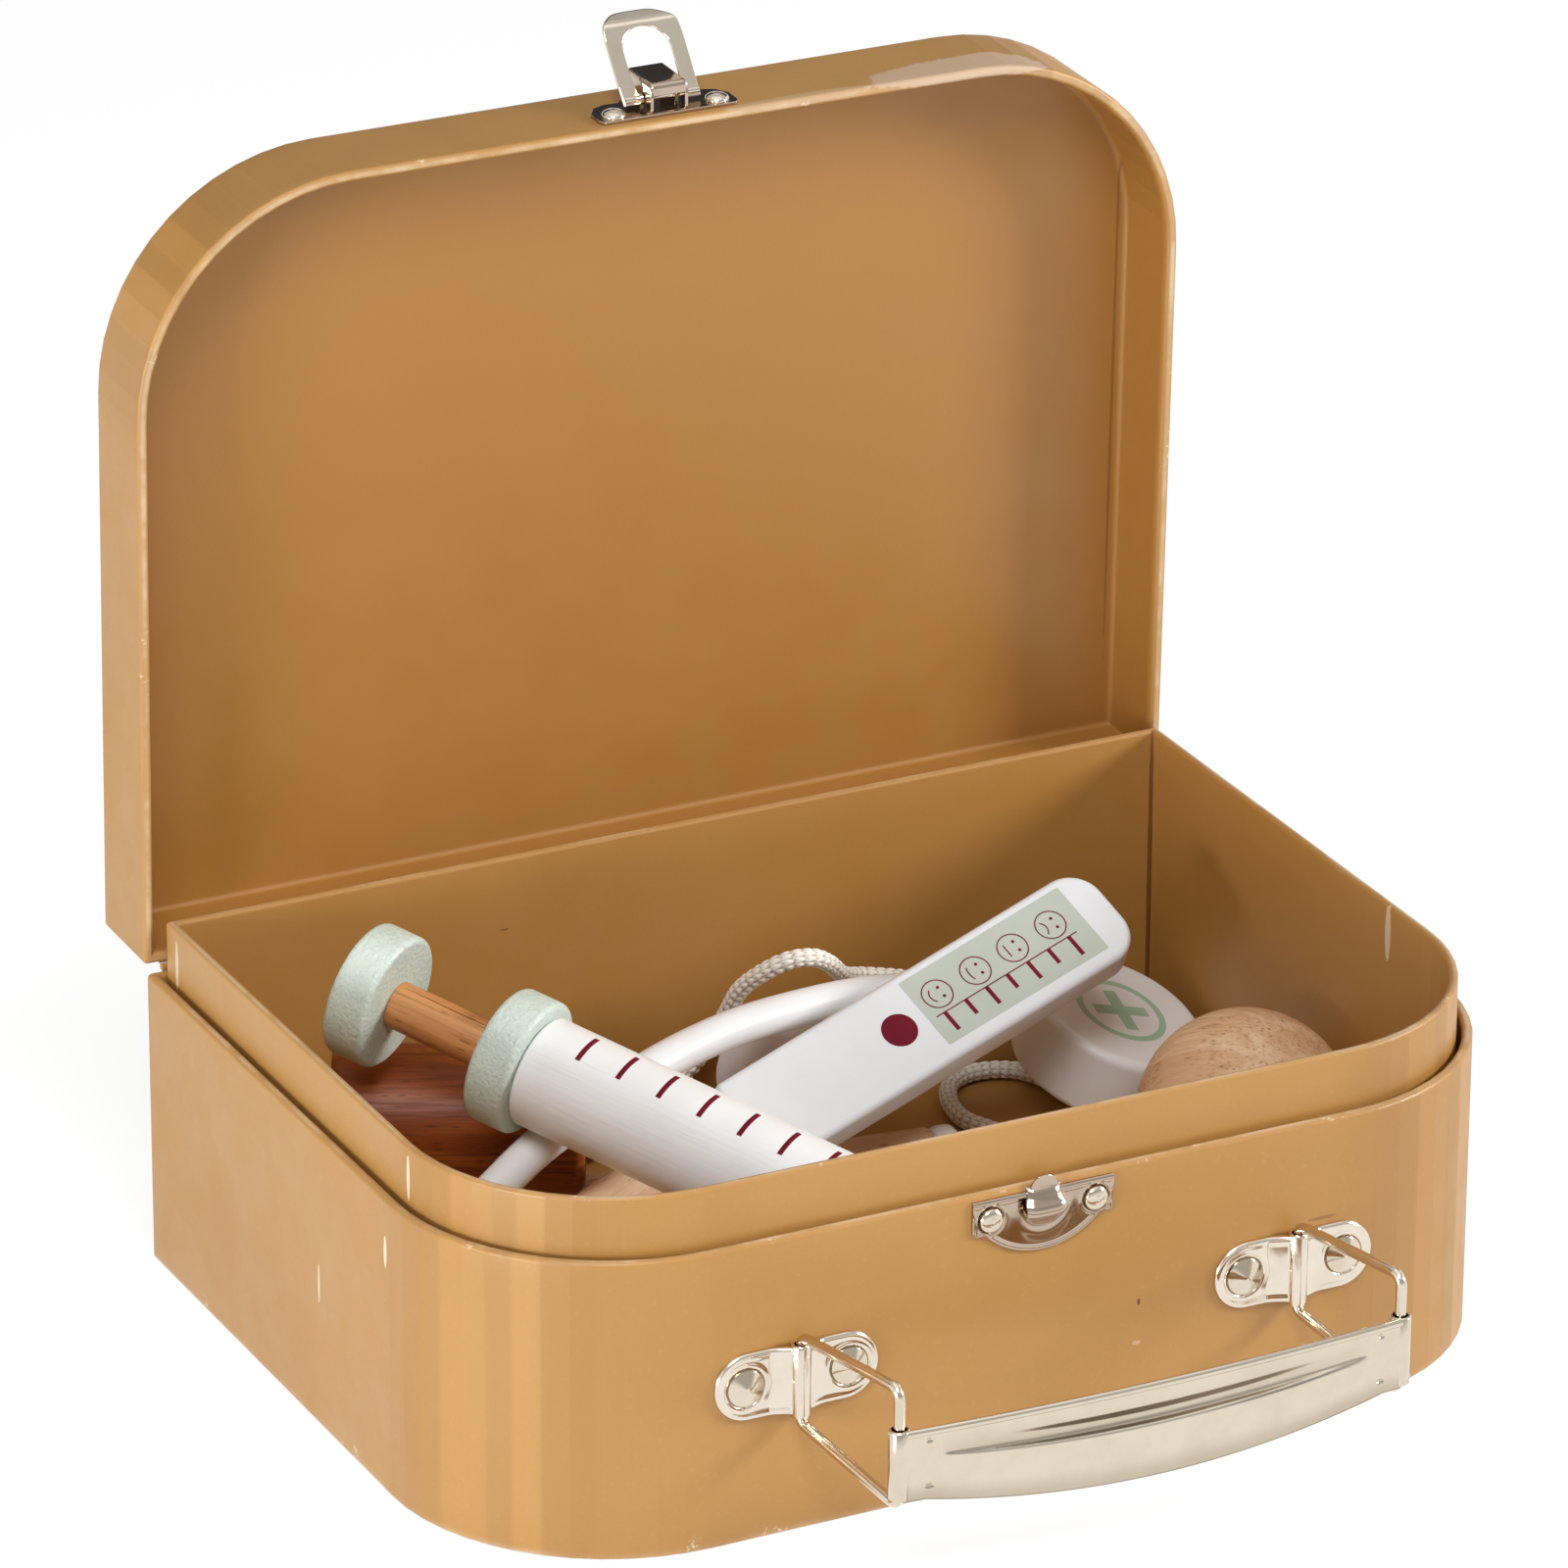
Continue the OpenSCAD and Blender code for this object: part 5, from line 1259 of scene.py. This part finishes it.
# studio: camera at the photograph's place, pale floor, soft lamps: place, size and power
studio = {
    "cameraAt": (-0.8621, -1.6748, 0.9459), "right": (0.8934, -0.4492, 0.0052), "up": (0.1756, 0.3598, 0.9164),
    "ahead": (0.4135, 0.8178, -0.4003), "sensor": 36, "lens": 222.87, "clip": (0.05, 60),
    "floorHalf": 12, "floorZ": -0.0002, "floorTone": (0.86, 0.86, 0.86, 1), "glow": 1.20, "glowSeen": 0.70,
    "glowMirrored": 0.90, "ambient": 0.22, "white": (1, 1, 1, 1), "aim": (0.0, 0.0, 0.1),
    # how high the walls fade in, how dark they are from front to back, and the bright panels by their way
    "horizon": (0.06, 0.26), "walls": (-0.30, 0.15, 0.45, 0.94),
    "panels": (("Z", 0.48, 0.62, 0.72), ("Z", 0.80, 0.90, 1.3), ("X", 0.70, 0.80, 1.1)),
    "lamps": {"keyLamp": ((1.55, -0.80, 0.74), 0.50, 26), "fillLamp": ((-1.00, -0.36, 0.11), 0.30, 7.5),
              "frontLamp": ((-0.65, -1.05, 1.65), 0.8, 22)},
}


def stand(thing, x, y, z, at):
    # an object whose axes and place are the matrix's columns
    m = np.eye(4)
    m[:3] = np.stack([x, y, z, at], 1)
    thing.matrix_world = Matrix(m.tolist())
    bpy.context.scene.collection.objects.link(thing)


def makeCamera():
    # its axes are the rows of the fitted turn: right, up, and ahead the other way round
    cam = bpy.data.objects.new("camera", bpy.data.cameras.new("camera"))
    x, y, z = (np.array(studio[k]) / np.linalg.norm(studio[k]) for k in ("right", "up", "ahead"))
    stand(cam, x, y, -z, studio["cameraAt"])
    cam.data.sensor_width, cam.data.lens = studio["sensor"], studio["lens"]
    cam.data.clip_start, cam.data.clip_end = studio["clip"]
    bpy.context.scene.camera = cam


def makeFloor():
    # matt, mixed with a glow that the camera sees most of and a mirror nearly all of
    h, z = studio["floorHalf"], studio["floorZ"]
    floor = bpy.data.meshes.new("floor")
    floor.from_pydata([(-h, -h, z), (h, -h, z), (h, h, z), (-h, h, z)], [], [(0, 1, 2, 3)])
    ground = bpy.data.objects.new("floor", floor)
    bpy.context.scene.collection.objects.link(ground)
    mat = bpy.data.materials.new("floorPaper")
    mat.use_nodes = True
    m = Nodes(mat.node_tree)
    rays = m.add("LightPath").outputs
    mirrored = m.calc("MULTIPLY", rays["Is Glossy Ray"], studio["glowMirrored"])
    seen = m.calc("MULTIPLY_ADD", rays["Is Camera Ray"], studio["glowSeen"], mirrored, clamp=True)
    matt = m.add("BsdfDiffuse", {0: studio["floorTone"]}).outputs[0]
    glow = m.add("Emission", {0: studio["white"], 1: studio["glow"]}).outputs[0]
    m.add("OutputMaterial", {0: m.add("MixShader", {0: seen, 1: matt, 2: glow}).outputs[0]})
    floor.materials.append(mat)


def makeRoom():
    # polished metal sees a bright horizon, a dark wall low at the back, a dimmer one in front, and bright
    # panels overhead and at both sides; all else is lit by an even ambient
    world = bpy.data.worlds.new("studio")
    bpy.context.scene.world = world
    world.use_nodes = True
    m = Nodes(world.node_tree)
    rays = m.add("LightPath").outputs
    way = m.add("SeparateXYZ", {0: m.add("TexCoord").outputs["Generated"]}).outputs
    walls = m.calc("MULTIPLY", m.fit(way["Z"], *studio["horizon"]), m.fit(way["Y"], *studio["walls"]))
    room = m.calc("SUBTRACT", 1.0, walls)
    for axis, low, high, bright in studio["panels"]:
        toward = m.calc("ABSOLUTE", way["X"]) if axis == "X" else way[axis]
        room = m.calc("MAXIMUM", room, m.fit(toward, low, high, 0.0, bright))
    ambient = studio["ambient"]
    level = m.calc("MULTIPLY_ADD", rays["Is Glossy Ray"], m.calc("SUBTRACT", room, ambient), ambient)
    plain = m.calc("MAXIMUM", rays["Is Camera Ray"], rays["Is Transmission Ray"])
    back = m.add("Background", {0: studio["white"], 1: m.calc("MAXIMUM", level, plain)})
    m.add("OutputWorld", {0: back.outputs[0]})


def makeLamps():
    # square lamps that face the aim
    for name, (at, size, power) in studio["lamps"].items():
        lamp = bpy.data.objects.new(name, bpy.data.lights.new(name, "AREA"))
        lamp.data.size, lamp.data.energy = size, power
        z = np.array(at) - studio["aim"]
        z /= np.linalg.norm(z)
        x = np.cross([0, 0, 1.0], z)
        x /= np.linalg.norm(x)
        stand(lamp, x, np.cross(z, x), z, at)


makeCamera()
makeFloor()
makeRoom()
makeLamps()
bpy.context.scene.view_settings.view_transform = "Standard"
print("studio made")
